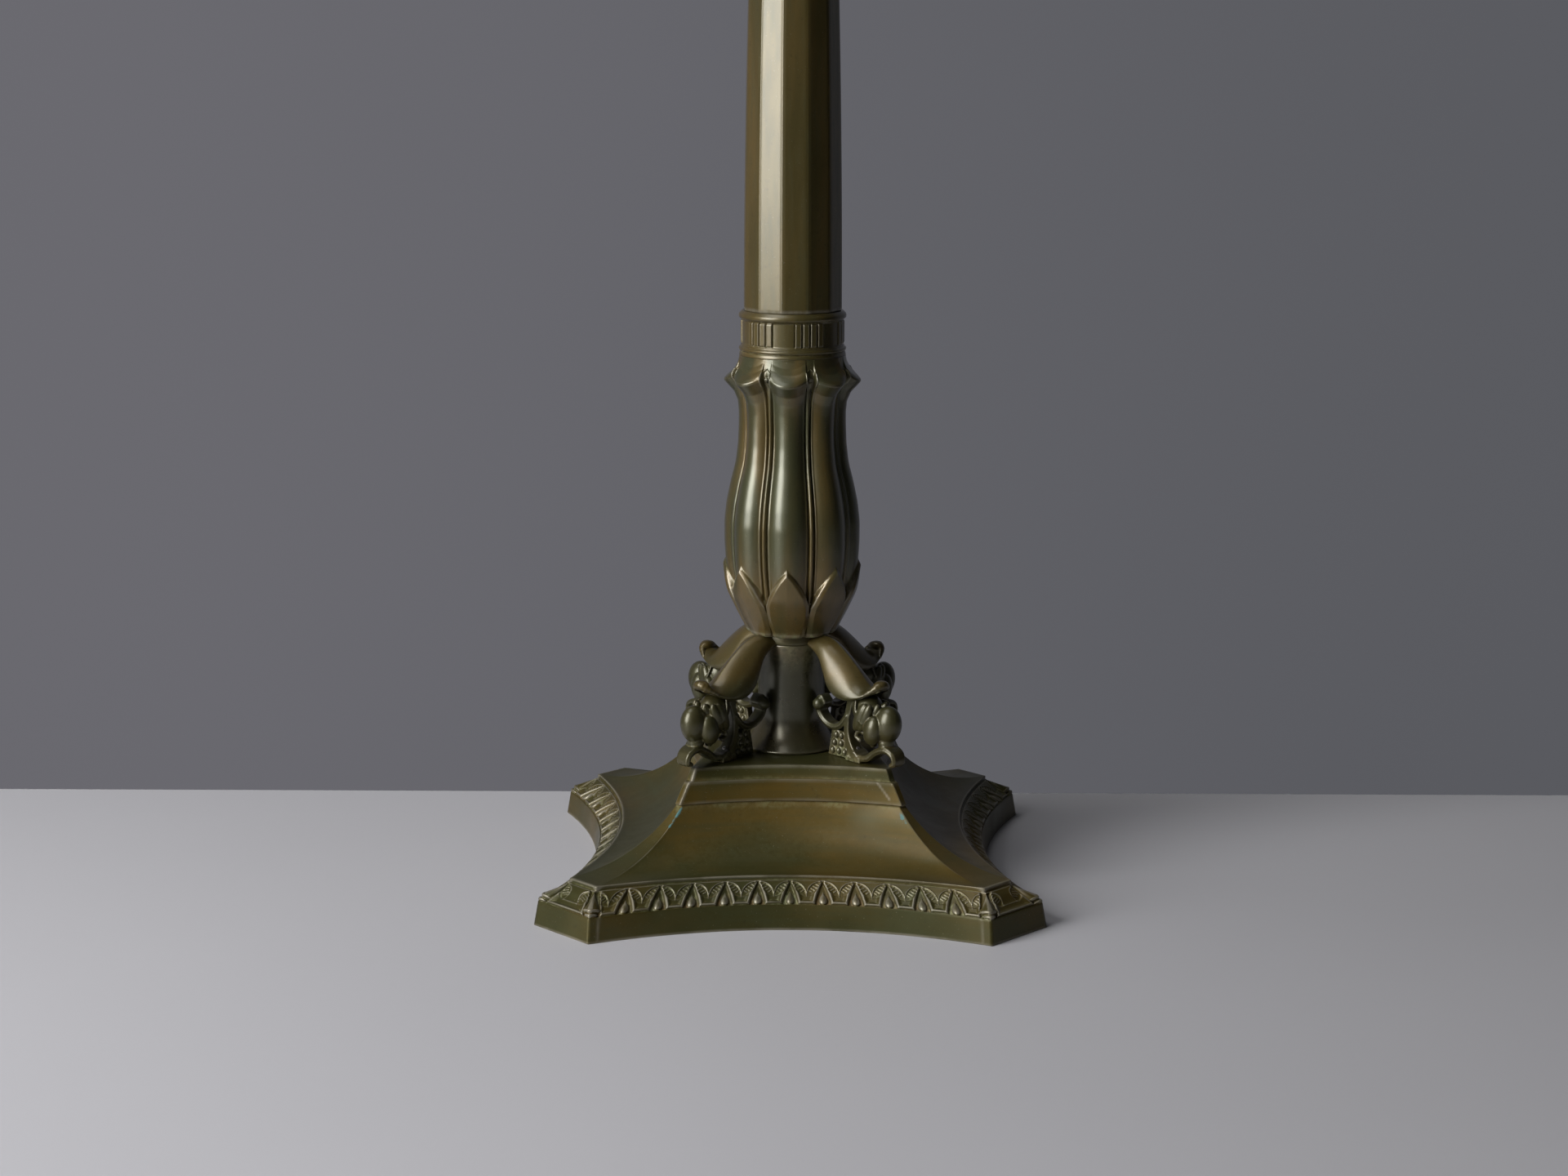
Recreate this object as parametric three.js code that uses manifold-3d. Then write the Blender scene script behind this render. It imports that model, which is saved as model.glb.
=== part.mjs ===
// Table lamp in patinated bronze. Millimetres, +Z up, origin on the table under the middle of the base,
// the front of the lamp faces -Y.
import * as THREE from "three";
import { mergeVertices } from "three/addons/utils/BufferGeometryUtils.js";
import Module from "manifold-3d";

const wasm = await Module();
wasm.setup();

// Clearances
const clearance = 0.3;
const cutOver = 1;

// Base casting
const baseHalf = 120;
const baseChamfer = 27.4;
const baseHollow = 21.7;
const plinthHeight = 11.6;
const plinthTopHalf = 117.9;
const plinthTopChamfer = 25.8;
const friezeHeight = 8.6;
const friezeTopHalf = 103.7;
const friezeTopChamfer = 13.2;
const friezeTopHollow = 18.4;
const filletHeight = 2.2;
const filletSetBack = 0.6;
const bodyHeight = 24.9;
const bodySetBack = 1.2;
const bodyTopHalf = 54.6;
const bodyTopChamfer = 2.6;
const bodyTopHollow = 9.2;
const bodySagitta = 6;
const stepAHeight = 10.4;
const stepAHalf = 55.4;
const stepATopHalf = 51.1;
const stepAHollow = 8.8;
const stepATopHollow = 6.9;
const stepBHeight = 6.3;
const stepBHalf = 49.9;
const stepBTopHalf = 48;
const stepHollow = 6.5;
const stepChamfer = 2.2;
const baseWall = 5;
const baseSideSteps = 6;
const bodyRings = 5;

// Foot tube and collar
const footHeight = 53;
const footRadius = 16.6;
const footFlareRadius = 24.6;
const footFlareHeight = 17;
const footEdge = 0.9;
const footWall = 4;
const collarHeight = 4.7;
const collarRadius = 16.9;
const jointGroove = 0.6;

// Lotus urn
const petalCount = 8;
const petalTurn = THREE.MathUtils.degToRad(-4);
const urnRimRadius = 20;
const urnHeight = 136;
const urnLipHeight = 125.3;
const urnLipReach = 7.2;
const urnLipDip = 3.8;
const urnNeckRadius = 26;
const urnWall = 5;
const urnFloor = 6;
const grooveDepth = 2.3;
const stemDepth = 1.3;
const sepalHeight = 32;
const sepalProud = 1.1;
const urnSideSteps = 64;

// Neck collar
const neckHeight = 21.4;
const neckRingRadius = 25.7;
const neckBandRadius = 24.3;
const neckWebHeight = 6;
const barGroups = 6;
const barsPerGroup = 4;
const barWidth = 3;
const barPitch = 3.75;
const barHeight = 11;
const barProud = 0.45;
const barTurn = THREE.MathUtils.degToRad(20);

// Column
const columnSides = 12;
const columnTurn = THREE.MathUtils.degToRad(18);
const columnHeight = 221;
const columnFootRadius = 24.2;
const columnTopRadius = 19.7;
const columnSwell = 1.8;
const columnBore = 15.5;

// Capital
const capitalHeight = 28;
const capitalRingRadius = 21.6;
const capitalBandRadius = 19.4;
const capitalLipRadius = 29.5;
const capitalWall = 4.4;

// Rod, washer and nuts
const rodRadius = 5;
const rodBore = 3.6;
const rodBelow = 18;
const rodAbove = 10;
const nutAcross = 17;
const nutHeight = 6;
const washerRadius = 14;
const washerHeight = 2;

// Scroll brackets
const bracketReach = 75;
const bracketOverUrn = 0.7;
const bracketRise = footHeight + collarHeight + bracketOverUrn;
const bracketWidth = 15.2;

// Bracket screws
const screwRadius = 2;
const screwHeadRadius = 3.8;
const screwHeadHeight = 2.8;
const screwReach = 7;
const screwOut = 45;

// Cord inlet, terminal block and internal lead
const inletRadius = 4;
const inletBore = 2.9;
const inletFlange = 5.2;
const inletFlangeThick = 2;
const inletHeight = 5.9;
const blockWidth = 24;
const blockDepth = 13;
const blockHeight = 11;
const blockOut = 26;
const terminalPitch = 11;
const terminalScrewRadius = 1.8;
const leadRadius = 2.3;
const leadSides = 6;
const leadSteps = 44;
const leadDip = 30;

// Lamp holder
const holderRadius = 19.4;
const holderWall = 0.9;
const holderCapHeight = 26;
const holderFloor = 2;
const barrelRadius = 20;
const barrelHeight = 36;
const barrelLap = 4;
const barrelShoulder = 2;
const porcelainHeight = 9;
const porcelainRadius = 17.6;
const shellOuter = 14.3;
const shellWall = 0.5;
const shellHeight = 21;
const contactRadius = 3.4;
const contactHeight = 2.4;
const switchFloor = 1.2;
const shaftRadius = 2;
const keySpan = 13;
const keyThick = 2.6;
const keyLength = 9;
const keyStandOff = 3.4;
const rotorRadius = 5;
const rotorLength = 9;

// Shade rings
const shadeRingOuter = 27;
const shadeRingHeight = 4;
const shadeRingApart = 8.5;
const shadeNotches = 10;
const shadeNotchRadius = 1.6;

// Bulb
const capRadius = 13.2;
const capHeight = 20;
const bulbRadius = 30;
const bulbNeckRadius = 14.6;
const bulbNeckHeight = 26;
const bulbHeight = 81;
const bulbWall = 0.9;
const bulbContactRadius = 4.6;
const bulbContactHeight = 2;
const mountRadius = 4;
const mountHeight = 34;
const filamentRadius = 8.5;
const filamentWire = 0.45;

// Heights of the stack
const friezeZ = plinthHeight;
const filletZ = friezeZ + friezeHeight;
const bodyZ = filletZ + filletHeight;
const stepAZ = bodyZ + bodyHeight;
const stepBZ = stepAZ + stepAHeight;
const plateauZ = stepBZ + stepBHeight;
const collarZ = plateauZ + footHeight;
const urnZ = collarZ + collarHeight;
const neckZ = urnZ + urnHeight;
const columnZ = neckZ + neckHeight;
const capitalZ = columnZ + columnHeight;
const holderZ = capitalZ + capitalHeight;
const barrelZ = holderZ + holderCapHeight;
const rodBottomZ = plateauZ - rodBelow;
const rodTopZ = holderZ + rodAbove;
const cavityTopZ = plateauZ - baseWall;
const rodHole = rodRadius + clearance;

// Materials
const bronze = new THREE.MeshStandardMaterial({ color: 0x3d3a24, roughness: 0.38, metalness: 0.85 });
const brass = new THREE.MeshStandardMaterial({ color: 0x9a7b3f, roughness: 0.35, metalness: 0.9 });
const steel = new THREE.MeshStandardMaterial({ color: 0x8d8f8f, roughness: 0.4, metalness: 0.9 });
const porcelain = new THREE.MeshStandardMaterial({ color: 0xe9e4d8, roughness: 0.3, metalness: 0 });
const textile = new THREE.MeshStandardMaterial({ color: 0x7d6a3c, roughness: 0.9, metalness: 0 });
const glass = new THREE.MeshStandardMaterial({ color: 0xf4f4ee, roughness: 0.05, metalness: 0 });
const tungsten = new THREE.MeshStandardMaterial({ color: 0x5a5753, roughness: 0.5, metalness: 0.8 });

const lamp = new THREE.Group();

function addPiece(name, geometry, material) {
  const mesh = new THREE.Mesh(geometry, material);
  mesh.name = name;
  lamp.add(mesh);
  return mesh;
}

// Solids and booleans
function toSolid(geometry) {
  const bare = geometry.clone();
  bare.deleteAttribute("normal");
  bare.deleteAttribute("uv");
  const merged = mergeVertices(bare, 1e-4);
  const vertProperties = new Float32Array(merged.attributes.position.array);
  const triVerts = new Uint32Array(merged.index.array);
  return new wasm.Manifold(new wasm.Mesh({ numProp: 3, vertProperties, triVerts }));
}

function toGeometry(solid) {
  const mesh = solid.getMesh();
  const geometry = new THREE.BufferGeometry();
  geometry.setAttribute("position", new THREE.BufferAttribute(new Float32Array(mesh.vertProperties), 3));
  geometry.setIndex(new THREE.BufferAttribute(new Uint32Array(mesh.triVerts), 1));
  geometry.computeVertexNormals();
  return geometry;
}

function join(geometries) {
  return toGeometry(geometries.map(toSolid).reduce((whole, next) => whole.add(next)));
}

function cut(geometry, tools) {
  return toGeometry(tools.map(toSolid).reduce((whole, tool) => whole.subtract(tool), toSolid(geometry)));
}

// A closed skin over rings of points that run from the bottom up, counter-clockwise seen from above
function skin(rings) {
  const count = rings[0].length;
  const positions = rings.flat().flatMap((p) => [p.x, p.y, p.z]);
  const index = [];
  for (let level = 0; level + 1 < rings.length; level += 1) {
    for (let k = 0; k < count; k += 1) {
      const a = level * count + k;
      const b = level * count + ((k + 1) % count);
      index.push(a, b, b + count, a, b + count, a + count);
    }
  }
  for (const [level, flip] of [[0, true], [rings.length - 1, false]]) {
    const middle = new THREE.Vector3();
    rings[level].forEach((p) => middle.addScaledVector(p, 1 / count));
    const hub = positions.length / 3;
    positions.push(middle.x, middle.y, middle.z);
    for (let k = 0; k < count; k += 1) {
      const a = level * count + k;
      const b = level * count + ((k + 1) % count);
      index.push(...(flip ? [hub, b, a] : [hub, a, b]));
    }
  }
  const geometry = new THREE.BufferGeometry();
  geometry.setAttribute("position", new THREE.Float32BufferAttribute(positions, 3));
  geometry.setIndex(index);
  return geometry;
}

// A turned solid about Z, from [radius, height] pairs of a closed outline
function turned(outline, segments = 32) {
  const points = outline.map(([r, z]) => new THREE.Vector2(r, z));
  points.push(points[0].clone());
  const geometry = new THREE.LatheGeometry(points, segments);
  geometry.rotateX(Math.PI / 2);
  return geometry;
}

function ringSolid(inner, outer, low, high, segments = 32) {
  return turned([[inner, low], [outer, low], [outer, high], [inner, high]], segments);
}

function disc(radius, low, high, segments = 24) {
  const geometry = new THREE.CylinderGeometry(radius, radius, high - low, segments);
  geometry.rotateX(Math.PI / 2);
  geometry.translate(0, 0, (low + high) / 2);
  return geometry;
}

function box(width, depth, height, x, y, z) {
  const geometry = new THREE.BoxGeometry(width, depth, height);
  geometry.translate(x, y, z);
  return geometry;
}

// Value at a height, read between [height, value] pairs
function between(pairs, height) {
  const next = pairs.findIndex(([at]) => at >= height);
  if (next <= 0) {
    return pairs[next === 0 ? 0 : pairs.length - 1][1];
  }
  const [lowAt, low] = pairs[next - 1];
  const [highAt, high] = pairs[next];
  return low + ((high - low) * (height - lowAt)) / (highAt - lowAt);
}

// Base: a square with hollow sides and cut corners at each height
function baseRing(z, half, chamfer, hollow) {
  const flat = half - chamfer;
  const points = [];
  for (let side = 0; side < 4; side += 1) {
    const turn = (side * Math.PI) / 2;
    for (let k = 0; k <= baseSideSteps; k += 1) {
      const along = -flat + (2 * flat * k) / baseSideSteps;
      const depth = half - hollow * (1 - (along / flat) ** 2);
      const x = along * Math.cos(turn) + depth * Math.sin(turn);
      const y = along * Math.sin(turn) - depth * Math.cos(turn);
      points.push(new THREE.Vector3(x, y, z));
    }
  }
  return points;
}

// The concave body: an arc between its foot and its top
function bodySections() {
  const footHalf = friezeTopHalf - filletSetBack - bodySetBack;
  const chord = Math.hypot(footHalf - bodyTopHalf, bodyHeight);
  const lean = Math.atan2(bodyHeight, footHalf - bodyTopHalf);
  const radius = (chord ** 2 / 4 + bodySagitta ** 2) / (2 * bodySagitta);
  const sweep = 2 * Math.asin(chord / (2 * radius));
  const sections = [];
  for (let k = 0; k <= bodyRings; k += 1) {
    const at = -sweep / 2 + (sweep * k) / bodyRings;
    const along = chord / 2 + radius * Math.sin(at);
    const drop = radius * Math.cos(at) - (radius - bodySagitta);
    const half = footHalf - along * Math.cos(lean) - drop * Math.sin(lean);
    const z = bodyZ + along * Math.sin(lean) - drop * Math.cos(lean);
    const share = (footHalf - half) / (footHalf - bodyTopHalf);
    const chamfer = friezeTopChamfer + (bodyTopChamfer - friezeTopChamfer) * share;
    const hollow = friezeTopHollow + (bodyTopHollow - friezeTopHollow) * share;
    sections.push([z, half, chamfer, hollow]);
  }
  return sections;
}

const cornerInset = 2 - Math.SQRT2;

function insetSection([z, half, chamfer, hollow], inset, drop) {
  return [z - drop, half - inset, Math.max(chamfer - cornerInset * inset, 1), hollow];
}

function baseCasting() {
  const foot = [0, baseHalf, baseChamfer, baseHollow];
  const plinthTop = [friezeZ, plinthTopHalf, plinthTopChamfer, baseHollow];
  const friezeTop = [filletZ, friezeTopHalf, friezeTopChamfer, friezeTopHollow];
  const fillet = [filletZ + clearance, friezeTopHalf - filletSetBack, friezeTopChamfer, friezeTopHollow];
  const filletTop = [bodyZ - clearance, friezeTopHalf - filletSetBack, friezeTopChamfer, friezeTopHollow];
  const body = bodySections();
  const stepA = [stepAZ + clearance, stepAHalf, stepChamfer, stepAHollow];
  const stepATop = [stepBZ, stepATopHalf, stepChamfer, stepATopHollow];
  const stepB = [stepBZ + clearance, stepBHalf, stepChamfer, stepHollow];
  const plateau = [plateauZ, stepBTopHalf, stepChamfer, stepHollow];
  const outer = [foot, plinthTop, friezeTop, fillet, filletTop, ...body, stepA, stepATop, stepB, plateau];
  const slant = baseWall * 0.75;
  const inner = [
    insetSection([-cutOver, baseHalf, baseChamfer, baseHollow], baseWall, 0),
    insetSection(plinthTop, baseWall, baseWall),
    insetSection(friezeTop, slant, slant),
    ...body.map((section) => insetSection(section, slant, slant)),
    insetSection(plateau, baseWall, baseWall),
  ];
  const solid = skin(outer.map((section) => baseRing(...section)));
  const hollow = skin(inner.map((section) => baseRing(...section)));
  const tools = [hollow, disc(rodHole, cavityTopZ - cutOver, plateauZ + cutOver)];
  for (let corner = 0; corner < 4; corner += 1) {
    tools.push(atCorner(screwHole(), corner));
  }
  tools.push(inletHole());
  return cut(solid, tools);
}

function cornerTurn(corner) {
  return Math.PI / 4 + (corner * Math.PI) / 2;
}

function atCorner(geometry, corner) {
  return geometry.clone().rotateZ(cornerTurn(corner));
}

function screwHole() {
  const hole = disc(screwRadius + clearance, cavityTopZ - cutOver, plateauZ + cutOver, 12);
  return hole.translate(screwOut, 0, 0);
}

// The back wall of the plinth, where the cord comes in
const plinthLean = (baseHalf - plinthTopHalf) / plinthHeight;
const backFaceY = baseHalf - baseHollow - inletHeight * plinthLean;

function alongY(geometry) {
  return geometry.rotateX(-Math.PI / 2);
}

function inletHole() {
  const bore = disc(inletRadius + clearance, -3 * baseWall, 3 * baseWall, 20);
  return alongY(bore).translate(0, backFaceY - baseWall / 2, inletHeight);
}

function cordInletBush() {
  const inside = backFaceY - baseWall - 1.5;
  const flangeAt = backFaceY + inletFlange * Math.abs(plinthLean) + clearance;
  const outline = [
    [inletBore, inside],
    [inletRadius, inside],
    [inletRadius, flangeAt],
    [inletFlange, flangeAt],
    [inletFlange, flangeAt + inletFlangeThick / 2],
    [inletFlange - 1, flangeAt + inletFlangeThick],
    [inletBore, flangeAt + inletFlangeThick],
  ];
  return alongY(turned(outline, 20)).translate(0, 0, inletHeight);
}

// The casting is held as two solids, the plinth with its frieze and the body, that meet under the fillet
const wholeBase = baseCasting();
const baseSpan = 2 * (baseHalf + cutOver);
const bodySide = box(baseSpan, baseSpan, plateauZ - filletZ + cutOver, 0, 0, (plateauZ + filletZ + cutOver) / 2);
const plinthSide = box(baseSpan, baseSpan, filletZ + cutOver, 0, 0, (filletZ - cutOver) / 2);

addPiece("base_plinth", cut(wholeBase, [bodySide]), bronze);
addPiece("base_casting", cut(wholeBase, [plinthSide]), bronze);
addPiece("cord_inlet_bush", cordInletBush(), brass);

// Foot tube
function footTube() {
  const outline = [[footRadius - footWall, plateauZ], [footFlareRadius - footEdge, plateauZ]];
  const flareSteps = 4;
  for (let k = 0; k <= flareSteps; k += 1) {
    const share = k / flareSteps;
    const radius = footRadius + (footFlareRadius - footRadius) * (1 - share) ** 2.2;
    outline.push([radius, plateauZ + footEdge + (footFlareHeight - footEdge) * share]);
  }
  outline.push([footRadius, collarZ - jointGroove]);
  outline.push([footRadius - jointGroove, collarZ]);
  outline.push([footRadius - footWall, collarZ]);
  return turned(outline, 28);
}

addPiece("foot_tube", footTube(), bronze);
addPiece("collar_ring", ringSolid(rodHole, collarRadius, collarZ, urnZ, 28), bronze);

// Outline of the urn at a petal's middle: [height over the urn's foot, radius]
const urnOutline = [
  [0, urnRimRadius],
  [2, 20.6],
  [5.7, 22.6],
  [10.7, 25.2],
  [15.6, 27.5],
  [20.5, 29.8],
  [25.4, 31],
  [35, 32.5],
  [45, 33.1],
  [55, 33.1],
  [64.4, 32],
  [74, 30],
  [83.8, 27.5],
  [93, 26.4],
  [103, urnNeckRadius],
  [112.5, urnNeckRadius],
  [urnHeight, urnNeckRadius - 0.2],
];

// The lip's reach beyond the neck: [height over the tip, share of the reach]
const lipOutline = [
  [-14, 0],
  [-8, 0.13],
  [-4.7, 0.42],
  [-1.6, 0.88],
  [0, 1],
  [1.6, 0.86],
  [4.8, 0.36],
  [8, 0.08],
  [10.6, 0],
];

// Depth of the petal's side at a share of the way from its middle to the stem
const petalSection = [
  [0, 0],
  [0.25, 0.08],
  [0.5, 0.34],
  [0.75, 1],
  [1, 0.56],
];

function petalShare(angle) {
  const pitch = (2 * Math.PI) / petalCount;
  const off = (angle - petalTurn) / pitch;
  return 2 * Math.abs(off - Math.round(off));
}

function urnRadius(angle, height) {
  const share = petalShare(angle);
  const underLip = urnLipHeight - 7.3;
  const fade = between([[0, 0.1], [25, 1], [underLip - 18, 1], [underLip, 0.35], [urnHeight, 0]], height);
  const groove = between(petalSection, share) * grooveDepth * fade;
  const tipHeight = urnLipHeight + urnLipDip * share ** 2;
  const reach = urnLipReach * (1 - 0.75 * share ** 2);
  return between(urnOutline, height) - groove + reach * between(lipOutline, height - tipHeight);
}

function pointAt(angle, radius, z) {
  // Angles run from the front (-Y) towards +X
  return new THREE.Vector3(radius * Math.sin(angle), -radius * Math.cos(angle), z);
}

function urnRing(height) {
  const points = [];
  for (let k = 0; k < urnSideSteps; k += 1) {
    const angle = petalTurn + (2 * Math.PI * k) / urnSideSteps;
    points.push(pointAt(angle, urnRadius(angle, height), urnZ + height));
  }
  return points;
}

// One small leaf at the foot of the urn, centred on a petal
function sepal(which) {
  const middle = petalTurn + (2 * Math.PI * which) / petalCount;
  const widths = [[0, 0.34], [0.25, 0.37], [0.5, 0.36], [0.75, 0.24], [0.9, 0.12], [1, 0.012]];
  const ups = [0, 0.25, 0.5, 0.75, 0.9, 1];
  const rings = ups.map((up) => {
    const height = 0.4 + up * (sepalHeight - 0.4);
    const width = between(widths, up);
    const outer = between(urnOutline, height) + sepalProud * (1 - 0.2 * up);
    const inner = between(urnOutline, height) - 2 * grooveDepth;
    const face = [-1, -0.5, 0, 0.5, 1].map((side) => {
      return pointAt(middle + side * width, outer - 0.7 * side ** 2, urnZ + height);
    });
    const back = [1, 0, -1].map((side) => pointAt(middle + side * width, inner, urnZ + height));
    return [...face, ...back];
  });
  return skin(rings);
}

function lotusUrn() {
  const nearLip = [-25.3, -8.3, -4.3, -0.8, 2.2, 5.7].map((over) => urnLipHeight + over);
  const heights = [0, 10.7, 20.5, 35, 52, 68, 83.8, ...nearLip, urnHeight];
  const outside = skin(heights.map(urnRing));
  const pieces = [outside];
  for (let which = 0; which < petalCount; which += 1) {
    pieces.push(sepal(which));
  }
  const bore = urnNeckRadius - urnWall - grooveDepth;
  const inside = turned(
    [
      [0, urnZ + urnFloor],
      [urnRimRadius - urnWall, urnZ + urnFloor],
      [bore + 5, urnZ + 30],
      [bore + 7, urnZ + 52],
      [bore, urnZ + 90],
      [bore, neckZ + cutOver],
      [0, neckZ + cutOver],
    ],
    24,
  );
  return cut(join(pieces), [inside, disc(rodHole, urnZ - cutOver, urnZ + urnFloor + cutOver)]);
}

addPiece("lotus_urn", lotusUrn(), bronze);

// Neck collar: rings, a band with groups of bars, and a web that holds the rod
function neckCollar(bottom, ring, band, height) {
  const bore = band - 5;
  const web = bottom + (height - neckWebHeight) / 2;
  const top = bottom + height;
  const profile = turned(
    [
      [rodHole, web],
      [bore, web],
      [bore, bottom],
      [ring - 0.4, bottom],
      [ring - 0.4, bottom + 1.8],
      [ring, bottom + 2.8],
      [ring, bottom + 4],
      [band, bottom + 4.8],
      [band, top - 4],
      [ring, top - 2.8],
      [ring, top - 1.4],
      [band, top],
      [bore, top],
      [bore, web + neckWebHeight],
      [rodHole, web + neckWebHeight],
    ],
    32,
  );
  return profile;
}

function neckBars(bottom, band, height) {
  const bars = [];
  const middle = bottom + 4.8 + (height - 8.8) / 2;
  for (let group = 0; group < barGroups; group += 1) {
    for (let bar = 0; bar < barsPerGroup; bar += 1) {
      const off = ((bar - (barsPerGroup - 1) / 2) * barPitch) / band;
      const angle = barTurn + (2 * Math.PI * group) / barGroups + off;
      const geometry = box(barWidth, 2 + barProud, barHeight, 0, -band + 1 - barProud / 2, middle);
      bars.push(geometry.rotateZ(angle));
    }
  }
  return bars;
}

const neckPieces = [
  neckCollar(neckZ, neckRingRadius, neckBandRadius, neckHeight),
  ...neckBars(neckZ, neckBandRadius, neckHeight),
];
addPiece("neck_collar", join(neckPieces), bronze);

// Column: twelve flat sides with a gentle swell
function columnShaft() {
  const levels = 8;
  const rings = [];
  for (let level = 0; level <= levels; level += 1) {
    const share = level / levels;
    const radius = columnFootRadius - (columnFootRadius - columnTopRadius) * share ** columnSwell;
    const ring = [];
    for (let side = 0; side < columnSides; side += 1) {
      const angle = columnTurn + (2 * Math.PI * side) / columnSides;
      ring.push(pointAt(angle, radius, columnZ + columnHeight * share));
    }
    rings.push(ring);
  }
  return cut(skin(rings), [disc(columnBore, columnZ - cutOver, capitalZ + cutOver)]);
}

addPiece("column_shaft", columnShaft(), bronze);

// Capital: a ring, a short neck and a lotus cup with eight pointed lips
function capitalCup() {
  const outline = [
    [0, capitalRingRadius - 0.6],
    [2, capitalRingRadius],
    [4.2, capitalBandRadius],
    [9, capitalBandRadius],
    [10, capitalRingRadius - 1],
    [11.4, capitalRingRadius - 1],
    [12.4, capitalBandRadius - 0.4],
    [17, capitalBandRadius + 1.4],
    [21, capitalBandRadius + 4.4],
    [24.6, capitalLipRadius],
    [26.2, capitalLipRadius - 2],
    [capitalHeight, capitalLipRadius - 7],
  ];
  const rings = outline.map(([height, radius]) => {
    const points = [];
    const flare = between([[12.4, 0], [24.6, 1], [capitalHeight, 0.3]], height);
    for (let k = 0; k < urnSideSteps / 2; k += 1) {
      const angle = petalTurn + (4 * Math.PI * k) / urnSideSteps;
      points.push(pointAt(angle, radius - 2.6 * flare * petalShare(angle) ** 2, capitalZ + height));
    }
    return points;
  });
  const bore = disc(capitalBandRadius - capitalWall, capitalZ - cutOver, holderZ - capitalWall);
  return cut(skin(rings), [bore, disc(rodHole, capitalZ, holderZ + cutOver)]);
}

addPiece("capital", capitalCup(), bronze);

// Threaded rod with its washer and nuts
function hexNut(low, high) {
  const geometry = disc(nutAcross / Math.sqrt(3), low, high, 6);
  return cut(geometry, [disc(rodHole, low - cutOver, high + cutOver)]);
}

addPiece("hollow_rod", ringSolid(rodBore, rodRadius, rodBottomZ, rodTopZ), steel);
addPiece("base_washer", ringSolid(rodHole, washerRadius, cavityTopZ - washerHeight, cavityTopZ), steel);
addPiece("base_nut", hexNut(cavityTopZ - washerHeight - nutHeight, cavityTopZ - washerHeight), steel);

// Bracket screws
function bracketScrew() {
  const head = disc(screwHeadRadius, cavityTopZ - screwHeadHeight, cavityTopZ, 16);
  const shank = disc(screwRadius, cavityTopZ - cutOver, plateauZ + screwReach, 12);
  const slot = box(2 * screwHeadRadius + 1, 1, 2, 0, 0, cavityTopZ - screwHeadHeight);
  return cut(join([head, shank]), [slot]).translate(screwOut, 0, 0);
}

// Scroll bracket, drawn in its own plane: x runs out from the lamp's axis, y across, z up
// The bracket's outlines: places in hundredths of its reach and of its rise, thicknesses of its width
function onBracket([out, up]) {
  return [(out * bracketReach) / 100, plateauZ + (up * bracketRise) / 100];
}

function ofWidth(hundredths) {
  return (hundredths * bracketWidth) / 100;
}

function path(points, steps) {
  const curve = new THREE.SplineCurve(points.map((point) => new THREE.Vector2(...onBracket(point))));
  return Array.from({ length: steps + 1 }, (_, k) => ({
    at: curve.getPoint(k / steps),
    way: curve.getTangent(k / steps),
  }));
}

// A strap along a path, with its half thickness in the plane and its half width across it
function strap(points, steps, thick, wide, sides = 8, offset = 0) {
  const rings = path(points, steps).map(({ at, way }, k) => {
    const share = k / steps;
    const ring = [];
    for (let side = 0; side < sides; side += 1) {
      const turn = (2 * Math.PI * (side + 0.5)) / sides;
      const inPlane = ofWidth(between(thick, share)) * Math.cos(turn);
      const across = offset + ofWidth(between(wide, share)) * Math.sin(turn);
      ring.push(new THREE.Vector3(at.x + way.y * inPlane, across, at.y - way.x * inPlane));
    }
    return ring;
  });
  return skin(rings);
}

function ball(place, across, sizes, lean = 0) {
  const [out, z] = onBracket(place);
  const geometry = new THREE.SphereGeometry(1, 8, 5);
  geometry.scale(...sizes.map(ofWidth));
  geometry.rotateY(lean);
  return geometry.translate(out, ofWidth(across), z);
}

// The leaf: its keel, its lower edge and its half width at each station from root to tip
const leafStations = [
  { keel: [17.3, 97.6], edge: [17.3, 92.5], half: 27.6 },
  { keel: [28, 100], edge: [27.3, 87.3], half: 34.2 },
  { keel: [37.3, 98.6], edge: [34.1, 81.3], half: 41.4 },
  { keel: [45.3, 93.5], edge: [39.1, 71.1], half: 47.4 },
  { keel: [53.3, 86.3], edge: [43.7, 61.3], half: 50 },
  { keel: [61.3, 77.6], edge: [51.3, 54.8], half: 50 },
  { keel: [68, 69.5], edge: [60.3, 53.3], half: 46.7 },
  { keel: [73.3, 65.6], edge: [68.5, 55.1], half: 40.1 },
  { keel: [79.2, 67.5], edge: [76.5, 59.6], half: 30.3 },
  { keel: [83.5, 68.5], edge: [83.5, 63.7], half: 18.4 },
];

function leafTongue() {
  const section = [[0, 0], [0.16, 0.5], [0.46, 0.92], [0.78, 1.06], [1, 0.92], [0.86, 0.45], [0.74, 0]];
  const rings = leafStations.map((station) => {
    const keel = onBracket(station.keel);
    const edge = onBracket(station.edge);
    const spot = ([down, out], sign) => {
      const r = keel[0] + (edge[0] - keel[0]) * down;
      const z = keel[1] + (edge[1] - keel[1]) * down;
      return new THREE.Vector3(r, sign * ofWidth(station.half) * out, z);
    };
    const right = section.map((pair) => spot(pair, -1));
    const left = section.slice(1, -1).map((pair) => spot(pair, 1));
    return [...right, ...left.reverse()];
  });
  return skin(rings);
}

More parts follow.
